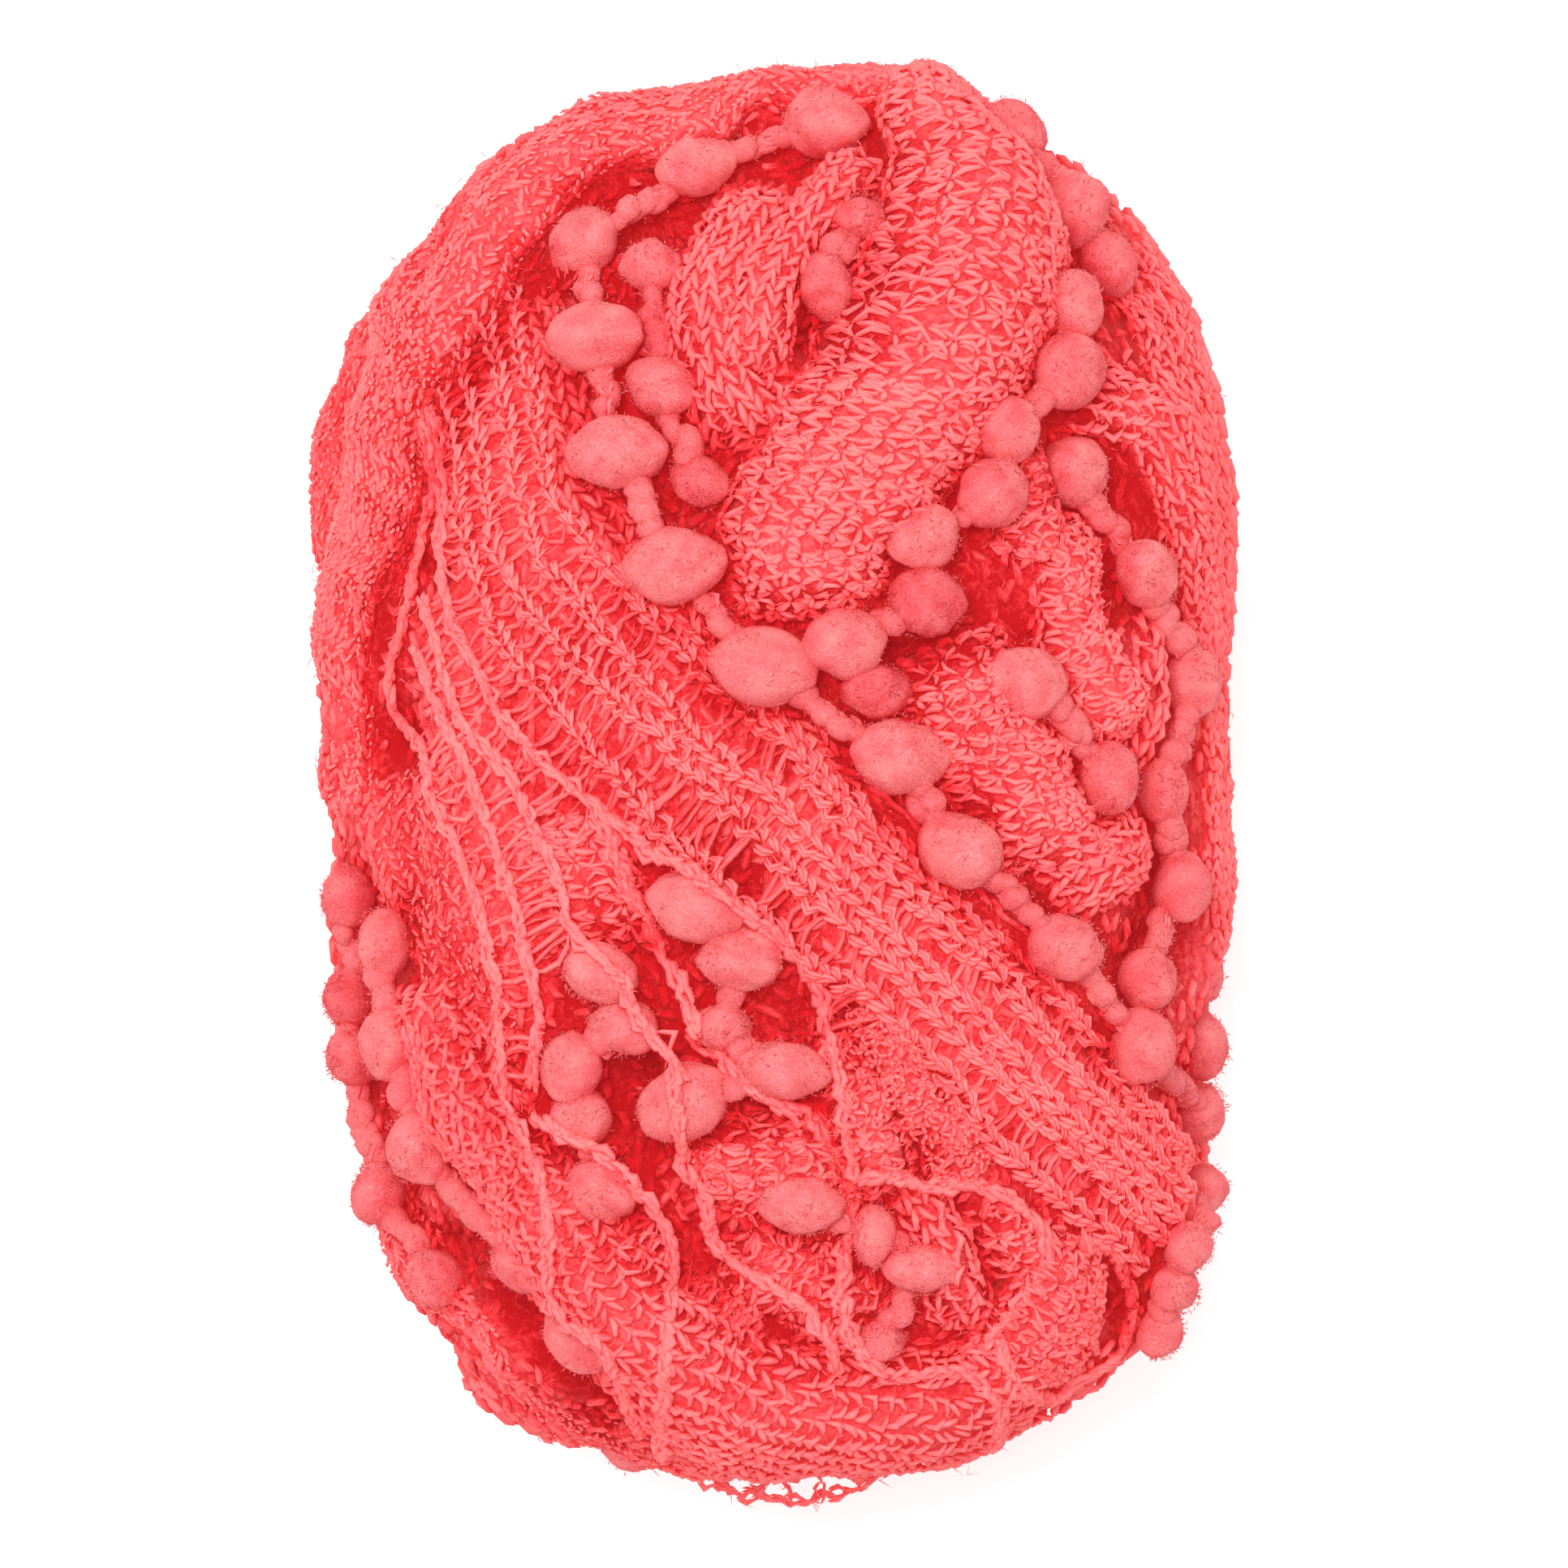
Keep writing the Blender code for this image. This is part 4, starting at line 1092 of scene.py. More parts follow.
# The outer turns on the right
right_inner = lay_between(pixels(
    (1300, 528, 1345, 455), (1372, 548, 1430, 500), (1408, 630, 1470, 590),
    (1440, 712, 1490, 695), (1462, 810, 1497, 810)),
    lift=(1.4, 0.6), rise=2.8)
wale_face(BAND_LEGS, right_inner, gap=2.8, width=0.95)
right_wrap = lay_between(pixels(
    (1330, 330, 1405, 300), (1380, 400, 1465, 410), (1430, 500, 1505, 500),
    (1462, 600, 1520, 600), (1478, 760, 1527, 760), (1478, 920, 1525, 920),
    (1482, 1100, 1522, 1100), (1485, 1250, 1518, 1250), (1488, 1340, 1514, 1340)),
    tucks=(0.0, 12.0), lift=(2.0, 0.0), rise=1.0,
    bulge=(0, 0, 0, 0, -0.6, -0.6, 0.2, 2.4, 2.0))
wale_face(BAND_LEGS, right_wrap, gap=2.9, width=0.95)

# The wales of the fan and the net that they open into, from right to left
WALES = {
    "edge": pixels(
        (775, 660), (815, 725), (862, 780), (905, 830), (950, 880), (988, 926), (1026, 972),
        (1065, 1010), (1099, 1048), (1130, 1083), (1168, 1117), (1206, 1152), (1244, 1182),
        (1283, 1221), (1313, 1255), (1344, 1293), (1371, 1332), (1409, 1374), (1447, 1416),
        (1466, 1454)),
    "second": pixels(
        (640, 370), (654, 401), (658, 449), (668, 500), (677, 552), (685, 600), (704, 635),
        (732, 673), (763, 711), (800, 752), (850, 806), (900, 858), (946, 903), (988, 941),
        (1026, 991), (1049, 1033), (1080, 1071), (1118, 1110), (1160, 1148), (1199, 1182),
        (1237, 1217), (1267, 1259), (1302, 1305), (1332, 1343), (1371, 1389), (1413, 1427),
        (1451, 1469)),
    "third": pixels(
        (612, 400), (632, 459), (635, 494), (642, 528), (649, 573), (656, 621), (673, 673),
        (694, 711), (725, 745), (756, 785), (800, 835), (850, 890), (900, 945), (938, 968),
        (977, 1014), (1019, 1064), (1053, 1102), (1091, 1140), (1130, 1182), (1168, 1217),
        (1206, 1255), (1237, 1293), (1264, 1332), (1298, 1366), (1332, 1400), (1371, 1431),
        (1413, 1469), (1440, 1500)),
    "fourth": pixels(
        (585, 440), (600, 500), (608, 573), (615, 607), (622, 649), (628, 680), (642, 711),
        (666, 752), (694, 786), (732, 825), (790, 880), (850, 940), (900, 991), (931, 1025),
        (965, 1060), (1003, 1102), (1026, 1125), (1065, 1159), (1091, 1186), (1130, 1232),
        (1164, 1270), (1195, 1293), (1230, 1330), (1265, 1365), (1300, 1400), (1340, 1440),
        (1385, 1485), (1425, 1520)),
    "lower_edge": pixels(
        (560, 480), (578, 540), (584, 621), (590, 673), (601, 711), (608, 738), (622, 769),
        (642, 804), (670, 838), (704, 880), (750, 935), (800, 990), (850, 1045), (900, 1098),
        (938, 1125), (977, 1163), (1015, 1198), (1060, 1215), (1091, 1240), (1114, 1270),
        (1145, 1301), (1168, 1328), (1191, 1366), (1214, 1400), (1244, 1431), (1275, 1454),
        (1302, 1480), (1340, 1501), (1370, 1525), (1395, 1550)),
    "net_right": pixels(
        (548, 510), (562, 560), (563, 620), (564, 680), (566, 720), (572, 750), (587, 793),
        (608, 838), (632, 880), (660, 917), (700, 955), (740, 990), (775, 1016), (815, 1046),
        (855, 1072), (900, 1104), (960, 1150), (1000, 1200), (1012, 1250), (1020, 1301),
        (1038, 1362), (1043, 1442)),
    "ladder_right": pixels(
        (545, 740), (553, 786), (563, 821), (573, 862), (591, 897), (620, 930), (650, 960),
        (678, 1027), (708, 1094), (734, 1147), (775, 1193), (810, 1241), (839, 1281),
        (850, 1321)),
    "ladder_left": pixels(
        (530, 800), (545, 835), (560, 880), (580, 920), (600, 960), (630, 1054), (651, 1121),
        (668, 1188), (678, 1254), (676, 1335)),
    "left_edge": pixels(
        (538, 520), (553, 573), (549, 621), (544, 669), (535, 711), (525, 752), (512, 780),
        (494, 814), (496, 845), (508, 872), (525, 897), (539, 925), (563, 1000), (582, 1040),
        (598, 1088), (611, 1129), (625, 1188), (633, 1260), (633, 1335), (656, 1374),
        (680, 1414), (688, 1449), (691, 1508), (691, 1561), (710, 1607), (760, 1647),
        (801, 1740)),
}
# Strands of the opened net, lower down
NET = {
    "net_third": pixels(
        (735, 985), (748, 1010), (769, 1054), (793, 1102), (818, 1150), (836, 1196), (860, 1249),
        (866, 1268)),
    "left_link": pixels(
        (675, 1368), (734, 1398), (774, 1411), (795, 1435), (814, 1465), (838, 1494),
        (844, 1529), (844, 1561), (830, 1604), (822, 1636), (822, 1682), (830, 1760)),
    "middle_drop": pixels(
        (839, 1308), (844, 1374), (852, 1414), (862, 1449), (881, 1481), (886, 1513),
        (908, 1540), (948, 1566), (986, 1588), (1010, 1617), (1023, 1655), (1026, 1676)),
    "long_drop": pixels(
        (855, 1271), (900, 1300), (943, 1339), (988, 1360), (1015, 1384), (1043, 1442),
        (1039, 1491), (1035, 1554), (1035, 1594), (1043, 1637), (1067, 1661), (1099, 1672),
        (1148, 1664), (1180, 1672), (1201, 1688), (1222, 1709), (1225, 1736), (1217, 1768)),
    "right_link": pixels(
        (1043, 1442), (1072, 1434), (1110, 1439), (1148, 1447), (1188, 1450), (1220, 1460),
        (1249, 1476), (1268, 1500), (1276, 1530), (1255, 1568), (1228, 1608), (1209, 1624),
        (1188, 1632)),
    "dome_ring": pixels(
        (1308, 1506), (1340, 1519), (1362, 1541), (1378, 1581), (1378, 1621), (1373, 1648),
        (1356, 1669), (1335, 1677), (1308, 1696), (1276, 1704), (1244, 1696), (1233, 1669),
        (1217, 1634), (1212, 1626)),
}
RUNG_PAIRS = [
    ("edge", "second", 1.0, 0.34), ("second", "third", 1.0, 0.38), ("third", "fourth", 1.0, 0.38),
    ("fourth", "lower_edge", 1.0, 0.38), ("lower_edge", "net_right", 0.5, 0.42),
    ("net_right", "ladder_right", 0.5, 0.46), ("ladder_left", "ladder_right", -0.6, 0.54),
    ("left_edge", "ladder_left", -0.6, 0.54),
]
# Strands of the fan and net that are smooth cords
SMOOTH = ["left_edge", "ladder_left", "ladder_right", "net_right", "net_third"]


# Pompoms

# Each string: its CAD node, then for each pompom x, y, half width, half height, tilt in degrees
# and tone, a painted shade for one that lies in shadow or a lift where the painted hollow shade
# runs too dark. A round pompom under the ball has only x, y and radius.
STRINGS = {
    "long_edge_string": [
        (6.0, 80.0, 5.0, 4.4, 10), (-9.5, 74.7, 4.6, 3.9, 20), (-23.1, 65.4, 4.3, 4.0, 50),
        (-21.8, 53.8, 6.1, 4.4, 0), (-19.0, 39.5, 6.1, 4.4, 4), (-12.0, 26.0, 6.3, 4.6, 8),
        (-1.5, 13.6, 6.2, 4.7, -12), (14.8, 3.2, 5.8, 4.6, -6), (22.5, -8.3, 5.2, 4.6, -25),
        (35.0, -20.1, 4.9, 4.1, -10), (44.5, -32.1, 4.1, 4.7, 0), (52.0, -40.6, 3.9, 3.8, 0)],
    "inner_left_string": [
        (-15.0, 62.2, 3.7, 3.2, -10, -0.1), (-13.8, 47.6, 4.2, 3.7, -15, -0.1),
        (-9.0, 36.2, 3.6, 2.9, -20, -0.2)],
    "centre_pair": [
        (10.5, 68.0, 2.8, 2.8, 0, -0.2), (6.1, 59.8, 3.0, 4.3, 10, -0.1)],
    "right_rim_string": [
        (29.0, 79.8, 4.3, 4.0, 0, -0.1), (36.5, 70.0, 4.4, 5.4, 10),
        (40.6, 63.5, 4.3, 3.7, -10, -0.12)],
    "band_edge_string": [
        (35.9, 57.8, 3.9, 4.4, 0), (35.5, 49.8, 4.9, 4.4, 40, -0.1), (28.0, 42.5, 4.1, 4.0, 0),
        (26.2, 34.8, 4.6, 4.2, 20, -0.14), (18.0, 29.4, 4.5, 3.9, 20),
        (18.1, 21.8, 5.0, 4.2, -5, -0.34), (8.5, 16.8, 5.0, 4.3, 20),
        (12.2, 10.9, 4.2, 3.3, 0, -0.28)],
    "right_hanging_string": [
        (36.3, 37.7, 4.2, 4.3, 0, 0.1), (45.2, 25.4, 3.5, 4.6, 20), (50.8, 12.0, 3.8, 4.5, 0),
        (47.0, -1.0, 3.3, 3.8, 0, -0.12), (49.3, -12.6, 3.9, 4.6, -20, -0.14),
        (45.2, -23.8, 4.0, 3.9, 0, -0.1)],
    "tuck_string": [
        (30.3, 12.0, 5.1, 4.4, -10), (40.4, 0.4, 3.4, 4.6, 0, -0.14)],
    "right_edge_string": [
        (52.0, -23.5, 3.9), (52.2, -32.4, 4.2)],
    "lower_right_string": [
        (52.8, -50.1, 2.9, 4.1, 0), (50.2, -56.4, 3.2, 3.2, 0), (48.6, -61.6, 3.0, 3.1, 0),
        (46.9, -67.0, 3.2, 3.1, 0)],
    "net_left_string": [
        (-21.0, -22.8, 4.9, 3.6, -15), (-18.2, -29.4, 4.5, 3.5, -10), (-24.5, -34.4, 3.5, 4.3, 0),
        (-23.4, -40.5, 3.9, 3.8, 0), (-20.9, -48.9, 4.5, 3.9, -15, -0.08)],
    "net_middle_string": [
        (-9.5, -15.0, 5.7, 4.3, -15), (-4.2, -21.3, 4.9, 3.9, -5),
        (-6.3, -29.4, 3.3, 2.8, 0, -0.06), (1.2, -34.5, 5.4, 3.5, -10),
        (-11.0, -38.6, 5.6, 4.8, 30)],
    "net_low_string": [
        (3.0, -50.6, 5.0, 3.7, -5), (11.9, -54.6, 2.5, 3.9, 0), (18.2, -58.3, 5.0, 3.1, -5),
        (12.5, -67.4, 3.4, 2.6, 0)],
    "lower_left_string": [
        (-47.5, -19.6, 3.1, 4.4, 0), (-46.9, -31.7, 4.3, 4.3, 0), (-43.0, -44.0, 4.3, 4.8, 15),
        (-30.6, -58.0, 4.4, 3.5, -15, -0.1), (-23.5, -67.1, 4.8, 3.9, -30)],
    "left_rim_string": [
        (-52.2, -14.0, 3.5, 3.9, 0, -0.14), (-52.3, -26.5, 3.7, 3.7, 0, -0.22),
        (-51.9, -33.8, 3.7, 3.6, 0, -0.22), (-48.6, -50.5, 3.9, 3.9, 0, -0.06),
        (-41.5, -60.5, 3.7, 3.5, 0)],
    "bottom_rim_string": [
        (-31.0, -74.0, 3.5), (-18.0, -81.5, 3.7)],
    "left_side_string": [
        (-44.0, 52.0, 4.1), (-49.0, 40.0, 4.2), (-50.0, 26.0, 4.0), (-48.0, 12.0, 4.2),
        (-50.0, -2.0, 4.0)],
    "right_side_string": [
        (45.0, 54.0, 4.2), (49.5, 40.5, 4.0), (49.0, 25.5, 4.3), (50.5, 11.0, 4.0),
        (48.5, -4.0, 4.2)],
    "top_end_string": [
        (-25.0, 76.0, 4.0), (-11.0, 82.0, 4.2), (4.0, 84.5, 4.0), (19.0, 80.5, 4.2)],
    "bottom_end_string": [
        (27.0, -74.5, 4.0), (13.0, -79.0, 4.2), (-1.0, -78.0, 4.0)],
}

ROUND = ball_of(4)
SMALL_ROUND = ball_of(3)
BOBBLE = ball_of(2)
POMPOM_FUZZ = Strands()
# Hairs on a pompom that faces up, on one that faces down and on each lump of a bobble, then the
# spacing of the bobbles along the cord
UPPER_HAIRS = 238
LOWER_HAIRS = 60
BOBBLE_HAIRS = 16
BOBBLE_PITCH = 3.2


def add_hairs(centre, axes, reaches_out, count, long, tone=0.0):
    """Short fibres that stand off a felted pompom or bobble, most of them on its outer half."""
    ways = unit(RANDOM.normal(size=(count, 3)))
    turned = RANDOM.random(count) < 0.7
    ways[turned, 2] = np.abs(ways[turned, 2])
    roots = centre + (ways * reaches_out) @ axes * 0.97
    outward = unit((ways / reaches_out) @ axes)
    lean = unit(outward + RANDOM.normal(0, 0.8, (count, 3)))
    reach = RANDOM.uniform(0.3, long, count)[:, None]
    # The pompom's painted shade carries onto its hairs
    POMPOM_FUZZ.legs(roots, roots + lean * reach, unit(RANDOM.normal(size=(count, 3))),
                     RANDOM.uniform(0.12, 0.19, count), bow=0.0,
                     shade=RANDOM.uniform(0.45, 1.0, count) + tone, shape=HAIR, thick=1.0)


def add_pompom(strands, centre, axes, reaches_out, seed, tone, shape):
    """One felted pompom: an oval drawn to soft points at its sides, with a lumpy face."""
    corners, triangles = shape
    lump = 1.0 + 0.06 * ripple(corners * 4.0, 6.0, seed) + 0.03 * ripple(corners * 4.0, 2.0, seed)
    point = np.ones_like(corners)
    point[:, 0] += 0.08 * np.abs(corners[:, 0]) ** 6
    drawn = np.clip(reaches_out[0] / reaches_out[1] - 1.0, 0.0, 0.5)
    point[:, 1:] -= drawn * 0.3 * corners[:, :1] ** 2
    placed = centre + (corners * point * lump[:, None] * reaches_out) @ axes
    # Its painted shade, with a mottle of felt
    strands.add(placed, triangles, 0.63 + tone + 0.16 * ripple(placed, 3.0, seed))
    count = UPPER_HAIRS if centre[2] > MIDDLE_HEIGHT else LOWER_HAIRS
    add_hairs(centre, axes, reaches_out, count, 0.95, tone)
    return placed


def add_bobble(strands, centre, axes, radius, seed):
    """A knobble of the cord: felted lumps drawn out along it."""
    corners, triangles = BOBBLE
    for share, shift in ((1.0, -0.5), (0.85, 0.6)):
        lump = 1.0 + 0.12 * ripple(corners * 3.0 + share, 4.0, seed)
        stretch = radius * share * RANDOM.uniform(0.85, 1.15, 3) * np.array([1.25, 1.0, 1.0])
        middle = centre + axes[0] * radius * shift + RANDOM.normal(0, 0.3, 3)
        strands.add(middle + (corners * lump[:, None] * stretch) @ axes, triangles, 0.58)
        add_hairs(middle, axes, stretch, BOBBLE_HAIRS, 0.9)


STRING_STRANDS = {}
UNDER_THE_NET = [
    "net_left_string", "net_middle_string", "net_low_string", "lower_left_string",
    "left_rim_string"]


def make_string(node, rows, seed):
    """One string of pompoms with the bobbled cord between them, resting on the ball."""
    string = Strands()
    oval = len(rows[0]) > 3
    wide = np.array([row[2] for row in rows])
    high = np.array([row[3] if oval else row[2] for row in rows])
    deep = (wide + high) / 2 * 0.9
    centres = np.array([
        put(BALL_TREE, *row[:2], UPPER if oval else LOWER, lift=rise * 0.9)
        for row, rise in zip(rows, deep)])
    ups = from_core(centres)[1]
    towards = unit(np.gradient(centres, axis=0))
    for k, (row, centre, up, way) in enumerate(zip(rows, centres, ups, towards)):
        across = np.cross(up, way)
        if oval:
            tilt = math.radians(row[4])
            across = np.array([math.cos(tilt), math.sin(tilt), 0.0])
        across = unit(across - up * (across @ up))
        axes = np.array([across, np.cross(up, across), up])
        shape = ROUND if oval else SMALL_ROUND
        # A pompom's painted shade, or a lift against the painted hollow shade
        tone = row[5] if len(row) > 5 else 0.0
        sizes = np.array([wide[k], high[k], deep[k]])
        HEAP.add(add_pompom(string, centre, axes, sizes, seed + k, tone, shape), shape[1])
    reach_along = (wide + high) / 2
    for start, end, a, b in zip(centres, centres[1:], reach_along, reach_along[1:]):
        gap = np.linalg.norm(end - start)
        way = (end - start) / gap
        from_here, to_here = a * 0.8, gap - b * 0.8
        count = max(1, round((to_here - from_here) / BOBBLE_PITCH))
        line = start + way * np.linspace(from_here - 1.0, to_here + 1.0, 8)[:, None]
        core, out = from_core(line)
        reach = np.maximum(reaches(BALL_TREE, line) + 1.4, np.linalg.norm(line - core, axis=1))
        line = core + out * reach[:, None]
        rope(string, line, out, pitch=2.0, width=1.1, spread=0.6, shade=0.55)
        over = unit(np.cross(out.mean(axis=0), way))
        axes = np.array([way, over, np.cross(way, over)])
        for middle in even(line, count + 2)[1:-1]:
            add_bobble(string, middle + RANDOM.normal(0, 0.3, 3), axes,
                       RANDOM.uniform(1.35, 2.0), seed + count)
    STRING_STRANDS[node] = string


def make_strings(under):
    """Makes the strings that lie under the net, or those that lie over the turns."""
    for count, (node, rows) in enumerate(STRINGS.items()):
        if (node in UNDER_THE_NET) == under:
            make_string(node, rows, 100 * count)


make_strings(under=True)
HEAP.settle()

# The knit between the fan's last wale and the long string of pompoms
FAN_LEGS = Strands()
fan_bed = lay_between(pixels(
    (640, 385, 690, 372), (652, 440, 722, 432), (662, 510, 742, 500), (676, 580, 762, 568),
    (712, 650, 800, 632), (768, 722, 846, 696), (838, 796, 902, 762), (904, 862, 962, 824),
    (976, 928, 1034, 888), (1040, 990, 1096, 944), (1110, 1058, 1164, 1014),
    (1180, 1128, 1232, 1086), (1250, 1194, 1302, 1150), (1320, 1264, 1366, 1226)),
    ground=0.42, lift=(0.2, 0.2), rise=0.5)
wale_face(FAN_LEGS, fan_bed, gap=3.0, pitch=2.0, width=1.0, shade=0.47, rung=False)

# The fan and the net
lines = {}
for name, points in WALES.items():
    lines[name] = drape(points, 1.2)
    if name in SMOOTH:
        twisted_cord(FAN_LEGS, *lines[name], thick=1.05, shade=0.66)
    else:
        rope(FAN_LEGS, *lines[name], pitch=1.75, width=1.15, spread=1.0, shade=0.68)
for name, points in NET.items():
    lines[name] = drape(points, 0.8)
    twisted_cord(FAN_LEGS, *lines[name], thick=1.15, shade=0.7)
for first, second, lean, shade in RUNG_PAIRS:
    pair = (FAN_LEGS, *lines[first], lines[second][0])
    rungs(*pair, width=0.85, lean=lean, shade=shade)
    # The second set sags deeper and is painted a little darker for the shade it hangs in
    rungs(*pair, pitch=2.7, lean=lean + 1.2, shade=shade - 0.06, sag=1.0)

# The strings that lie over the turns
make_strings(under=False)

# The edge of the fan that curls under beside the long string
curled_edge = lay_between(pixels(
    (1035, 972, 1062, 950), (1108, 1040, 1140, 1012), (1178, 1112, 1212, 1082),
    (1250, 1180, 1285, 1152), (1318, 1252, 1345, 1222), (1385, 1335, 1408, 1305)),
    ground=0.3, lift=(0.2, 0.2), rise=1.6)
seam(FAN_LEGS, curled_edge, 0.5, shade=0.3)

# The smooth valley where the fan comes out, a dark strip painted for the shadow under the wrap's
# edge, the fold on the left rim, then the outer wrap
WRAP_LEGS = Strands()
wrap_valley = lay_between([
    (-27.5, 66.5, -24.0, 63.0), (-32.5, 60.5, -28.6, 57.5), (-37.0, 54.0, -32.8, 51.2),
    (-41.0, 48.5, -37.0, 46.4), (-43.0, 41.0, -39.4, 40.6), (-43.6, 34.0, -40.4, 34.2),
    (-45.6, 28.0, -43.0, 29.2), (-49.0, 21.0, -46.2, 22.6)],
    ground=0.12, lift=(0.3, 0.4), rise=0.2)
dash_face(WRAP_LEGS, wrap_valley, gap=1.7, shade=0.14, pale=0.16)
rim_fold = lay_between([
    (-44.5, 65.5, -42.5, 65.0), (-48.6, 59.4, -46.0, 58.5), (-52.5, 53, -49, 53),
    (-55.2, 47.4, -50.9, 47.4), (-56.7, 41, -52.3, 41), (-57.6, 35.4, -53.0, 35.4),
    (-56.3, 29.4, -53.8, 29.4), (-56.5, 22, -55.2, 22)],
    tucks=(10.0, 0.0), lift=(1.6, 0.6), rise=1.6, wave=(0.6, 9.0, 4),
    bulge=(0, 0, 0.3, 1.8, 3.0, 3.6, 1.0, 0))
# Painted deeper for the shade on the rim's steep face
dash_face(WRAP_LEGS, rim_fold, shade=0.27, pale=0.36)
left_wrap = lay_between([
    (15, 87, 14, 83), (-3, 87, 0, 82), (-16, 83.5, -9, 78.5), (-31, 76.5, -20.5, 73.5),
    (-40.5, 70.0, -27.5, 66.0), (-46.0, 62.0, -33.0, 58.0), (-47.8, 51.5, -39.5, 48.5),
    (-50.5, 41, -42, 40), (-52.2, 31.5, -43.8, 30.7), (-55.3, 22, -48.0, 20.5),
    (-56.5, 11, -49.3, 9), (-56.0, 0, -50.3, -1), (-55.0, -8, -51.3, -9)],
    tucks=([14, 14, 14, 12, 7, 2, 0, 0, 0, 6, 14, 14, 14], 0.0), lift=(3.0, 1.0),
    rise=2.6, wave=(0.8, 14.0, 5))
dash_face(WRAP_LEGS, left_wrap, gap=1.2, shade=0.56)
# A pale row painted along its crest as a highlight
seam(WRAP_LEGS, left_wrap, 0.04, shade=0.85, width=1.3)
# Its edge stitches painted deep, for the shadow the wrap casts over the valley
edging(WRAP_LEGS, left_wrap, shade=0.12)

# The loose ladder strip at the bottom end: radius of each strand, then its x, y, z
LOOSE_STRIP = [
    (0.95, [(-12.5, -84.2, 47.0), (-8.0, -86.0, 45.0), (-3.5, -87.6, 43.0), (2.5, -88.6, 41.5),
            (8.0, -87.8, 41.5), (12.0, -85.8, 43.0), (14.5, -84.0, 45.0)]),
    (0.8, [(-4.5, -88.0, 43.2), (-1.0, -85.6, 44.0), (4.0, -84.9, 44.0), (9.0, -85.2, 43.8),
           (12.6, -85.6, 43.2)]),
    (0.5, [(1.4, -84.8, 44.0), (1.8, -89.2, 41.6)]),
    (0.5, [(5.4, -84.8, 44.0), (5.8, -89.0, 41.4)]),
]
LOOP_LEGS = Strands()
for radius, points in LOOSE_STRIP:
    route = np.array(points) + (*MIDDLE, 0.0)
    line = smooth_curve(route, max(4, round(lengths_along(route)[-1])))
    rope(LOOP_LEGS, line, from_core(line)[1] * 0.3 + (0.0, 0.0, 1.0), pitch=1.9,
         width=radius * 0.9, spread=radius * 0.45)

# Stitches on the ball itself, where no ribbon lies over them
BASE_LEGS = Strands()


def ball_stitches():
    """Knit legs all over the ball, crumpled this way and that."""
    for side, step in ((UPPER, 2.8), (LOWER, 3.5)):
        rows, columns = round(2 * HALF_LENGTH / step), round(math.pi * END_RADIUS / step)
        i, j, count = cells(rows, columns)
        along = (i + 0.5 + jitter(count, 0.2)) / rows * 2 * HALF_LENGTH - HALF_LENGTH
        turn = (j + 0.5 + jitter(count, 0.2)) / columns * math.pi - math.pi / 2
        middle, out, narrowing = on_capsule(along, turn, side)
        kept = RANDOM.random(count) < narrowing
        crossed = ((i + j) % 2)[kept]
        middle, out = middle[kept], out[kept]
        place = middle + out * (reaches(BALL_TREE, middle + out * END_RADIUS)[:, None] + 0.1)
        first = unit(np.cross(out, (1.0, 0.0, 0.3)))
        second = np.cross(out, first)
        heading = (ripple(place, 24.0, 5) + np.where(crossed, 0.5, -0.5)
                   + jitter(len(place), 0.25))
        way = first * np.cos(heading)[:, None] + second * np.sin(heading)[:, None]
        half = way * step * 0.6
        BASE_LEGS.legs(place - half, place + half, out, 0.5 * step, bow=0.1,
                       shade=0.42 + 0.12 * ripple(place, 6.0, 8), shape=PLAIN_LEG)


HEAP.settle()
COVER.settle()
ball_stitches()
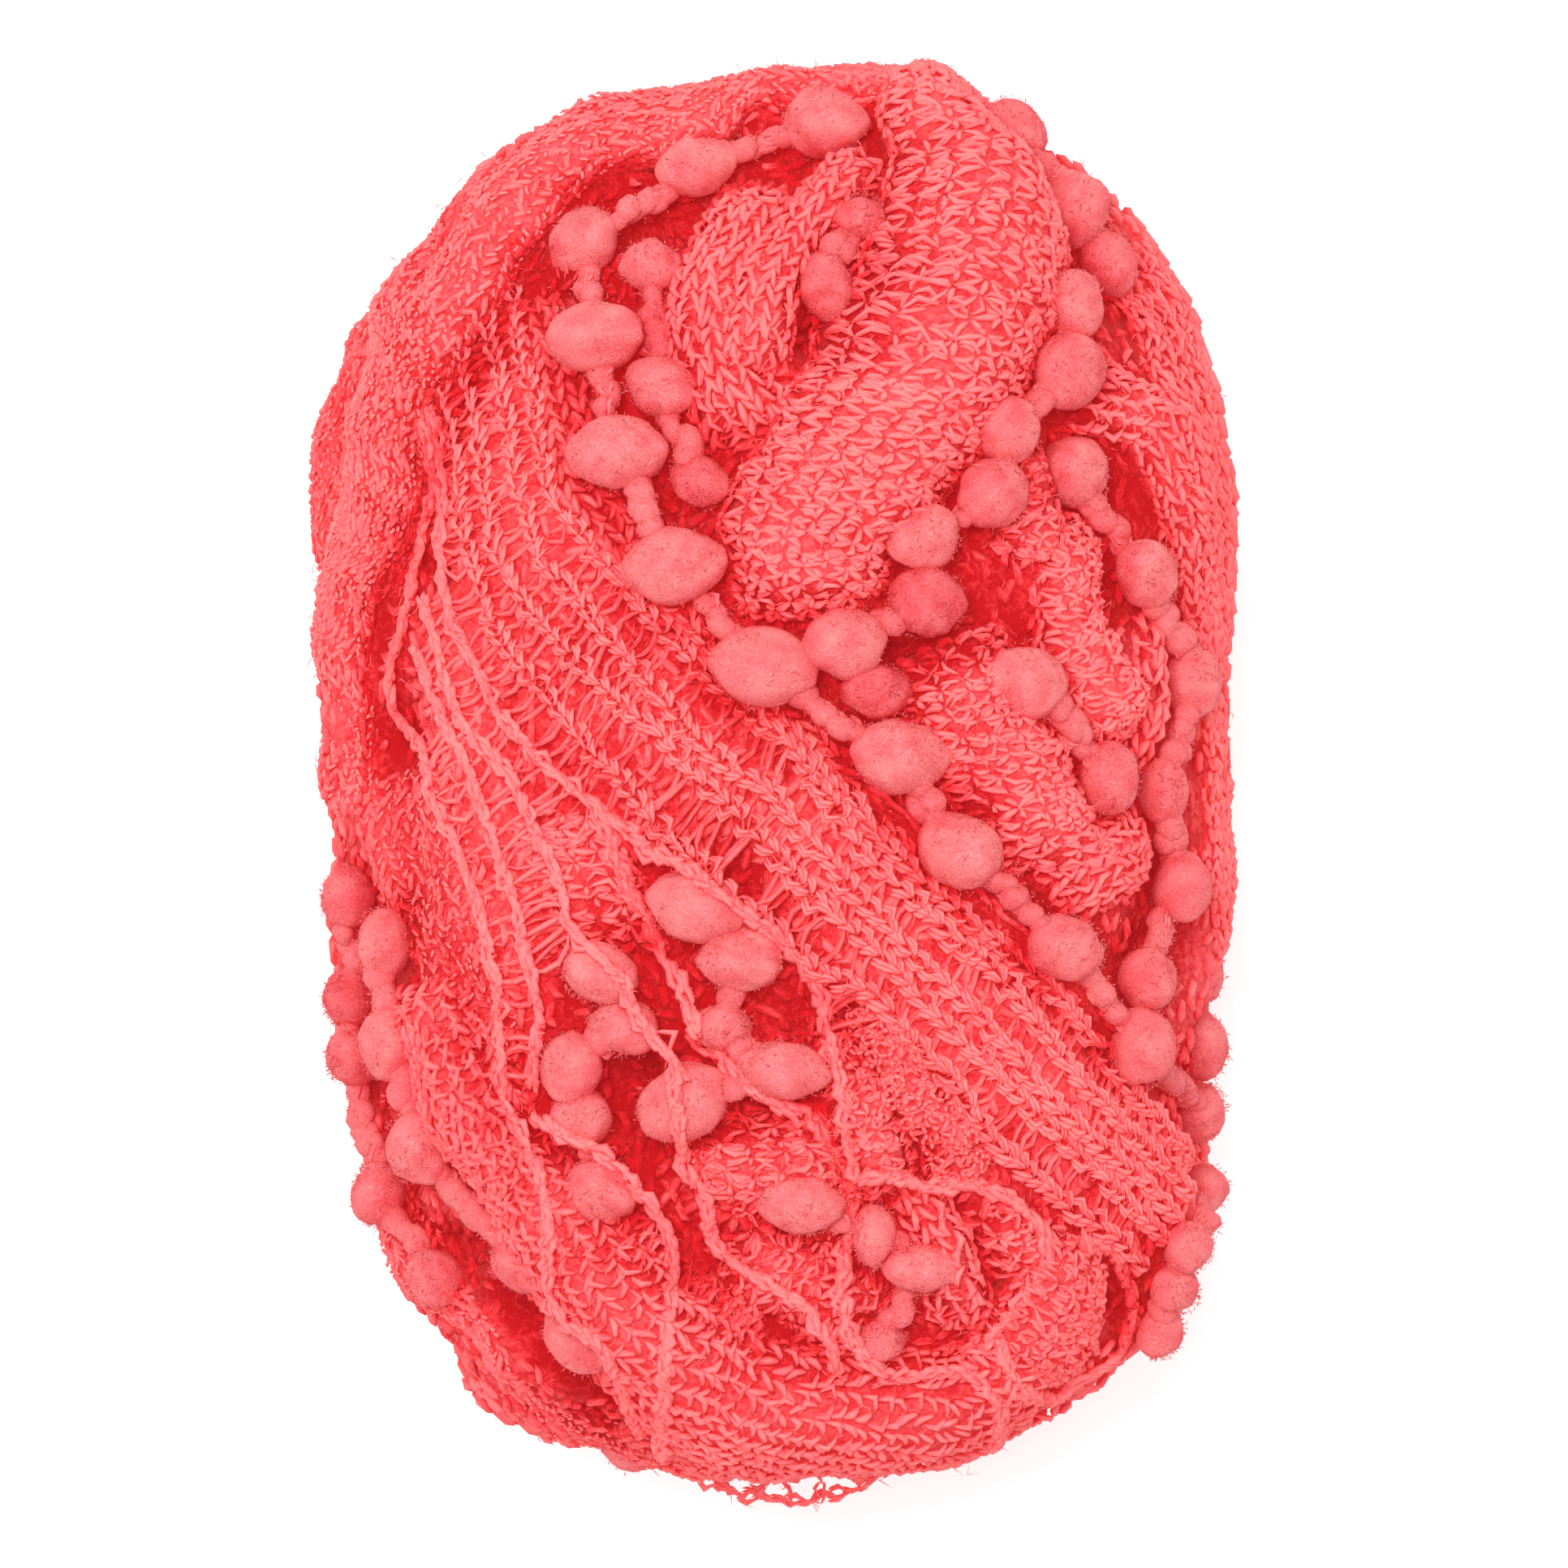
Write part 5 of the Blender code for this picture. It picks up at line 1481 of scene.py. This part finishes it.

# The finished pieces, and how much of the painted light and shade the pompoms take
POMPOM_PAINTED_SHADE_SHARE = 0.55
OUTLINE, BRIMS = heap_outlines(HEAP.tree)
for node, string in STRING_STRANDS.items():
    string.finish(node.replace("_string", "") + "_pompoms", FELT, "felted_pompom", [node],
                  depth=POMPOM_PAINTED_SHADE_SHARE)
make_piece("inner_turns", BALL_CORNERS, BALL_TRIANGLES, np.full(len(BALL_CORNERS), 0.35),
           BALL_CORNERS.copy(), SHADE_PAINTED_KNIT, ["wound_ball"])
STRAPS.finish("ribbon_straps", SHADE_PAINTED_KNIT, "knitted_ribbon")
for name, strands in (
        ("inner_stitches", BASE_LEGS), ("flank_stitches", FLANK_LEGS),
        ("fold_stitches", FOLD_LEGS), ("band_stitches", BAND_LEGS), ("fan_and_net", FAN_LEGS),
        ("lower_left_stitches", LOWER_LEGS), ("left_wrap_stitches", WRAP_LEGS)):
    strands.finish(name, KNIT, "knitted_ribbon")
LOOP_LEGS.finish("loose_ladder", KNIT, "knitted_ribbon", ["loose_ladder_loop"])
POMPOM_FUZZ.finish("pompom_fuzz", FELT, "felted_pompom", depth=POMPOM_PAINTED_SHADE_SHARE)
knit_fuzz = Strands()
hair_roots, hair_tips = [np.vstack(part) for part in zip(*KNIT_FUZZ)]
# The hairs painted pale, for the light they catch
knit_fuzz.legs(hair_roots, hair_tips, unit(RANDOM.normal(size=hair_roots.shape)), 0.15, bow=0.0,
               shade=0.75, shape=HAIR, thick=1.0)
knit_fuzz.finish("knit_fuzz", KNIT, "knitted_ribbon")


# Floor, light and camera

def make_floor():
    shape = bmesh.new()
    bmesh.ops.create_grid(shape, x_segments=1, y_segments=1, size=1.5)
    data = bpy.data.meshes.new("floor")
    shape.to_mesh(data)
    shape.free()
    data.materials.append(floor_material())
    add_object("floor", data)


def make_light(place, size, power):
    data = bpy.data.lights.new("soft_key", "AREA")
    data.shape = "DISK"
    data.size = size
    data.energy = power
    light = add_object("soft_key", data)
    light.location = place
    towards = Vector((0.0, 0.0, 0.04)) - light.location
    light.rotation_euler = towards.to_track_quat("-Z", "Y").to_euler()


def make_camera():
    data = bpy.data.cameras.new("camera")
    data.sensor_width = SENSOR
    data.lens = SENSOR * CAMERA_DISTANCE / FIELD
    data.clip_end = 10.0
    camera = add_object("camera", data)
    camera.location = (0.0, 0.0003, (CAMERA_DISTANCE + MIDDLE_HEIGHT) * MM)
    bpy.context.scene.camera = camera


make_floor()
make_light((-0.16, 0.24, 1.35), 0.6, 16.0)
make_camera()
world = bpy.data.worlds.new("studio")
world.use_nodes = True
background = world.node_tree.nodes["Background"]
background.inputs["Color"].default_value = linear("#FFFFFF")
background.inputs["Strength"].default_value = 0.7
scene = bpy.context.scene
scene.world = world
scene.view_settings.view_transform = "Standard"
scene.cycles.max_bounces = 12
scene.cycles.diffuse_bounces = 8
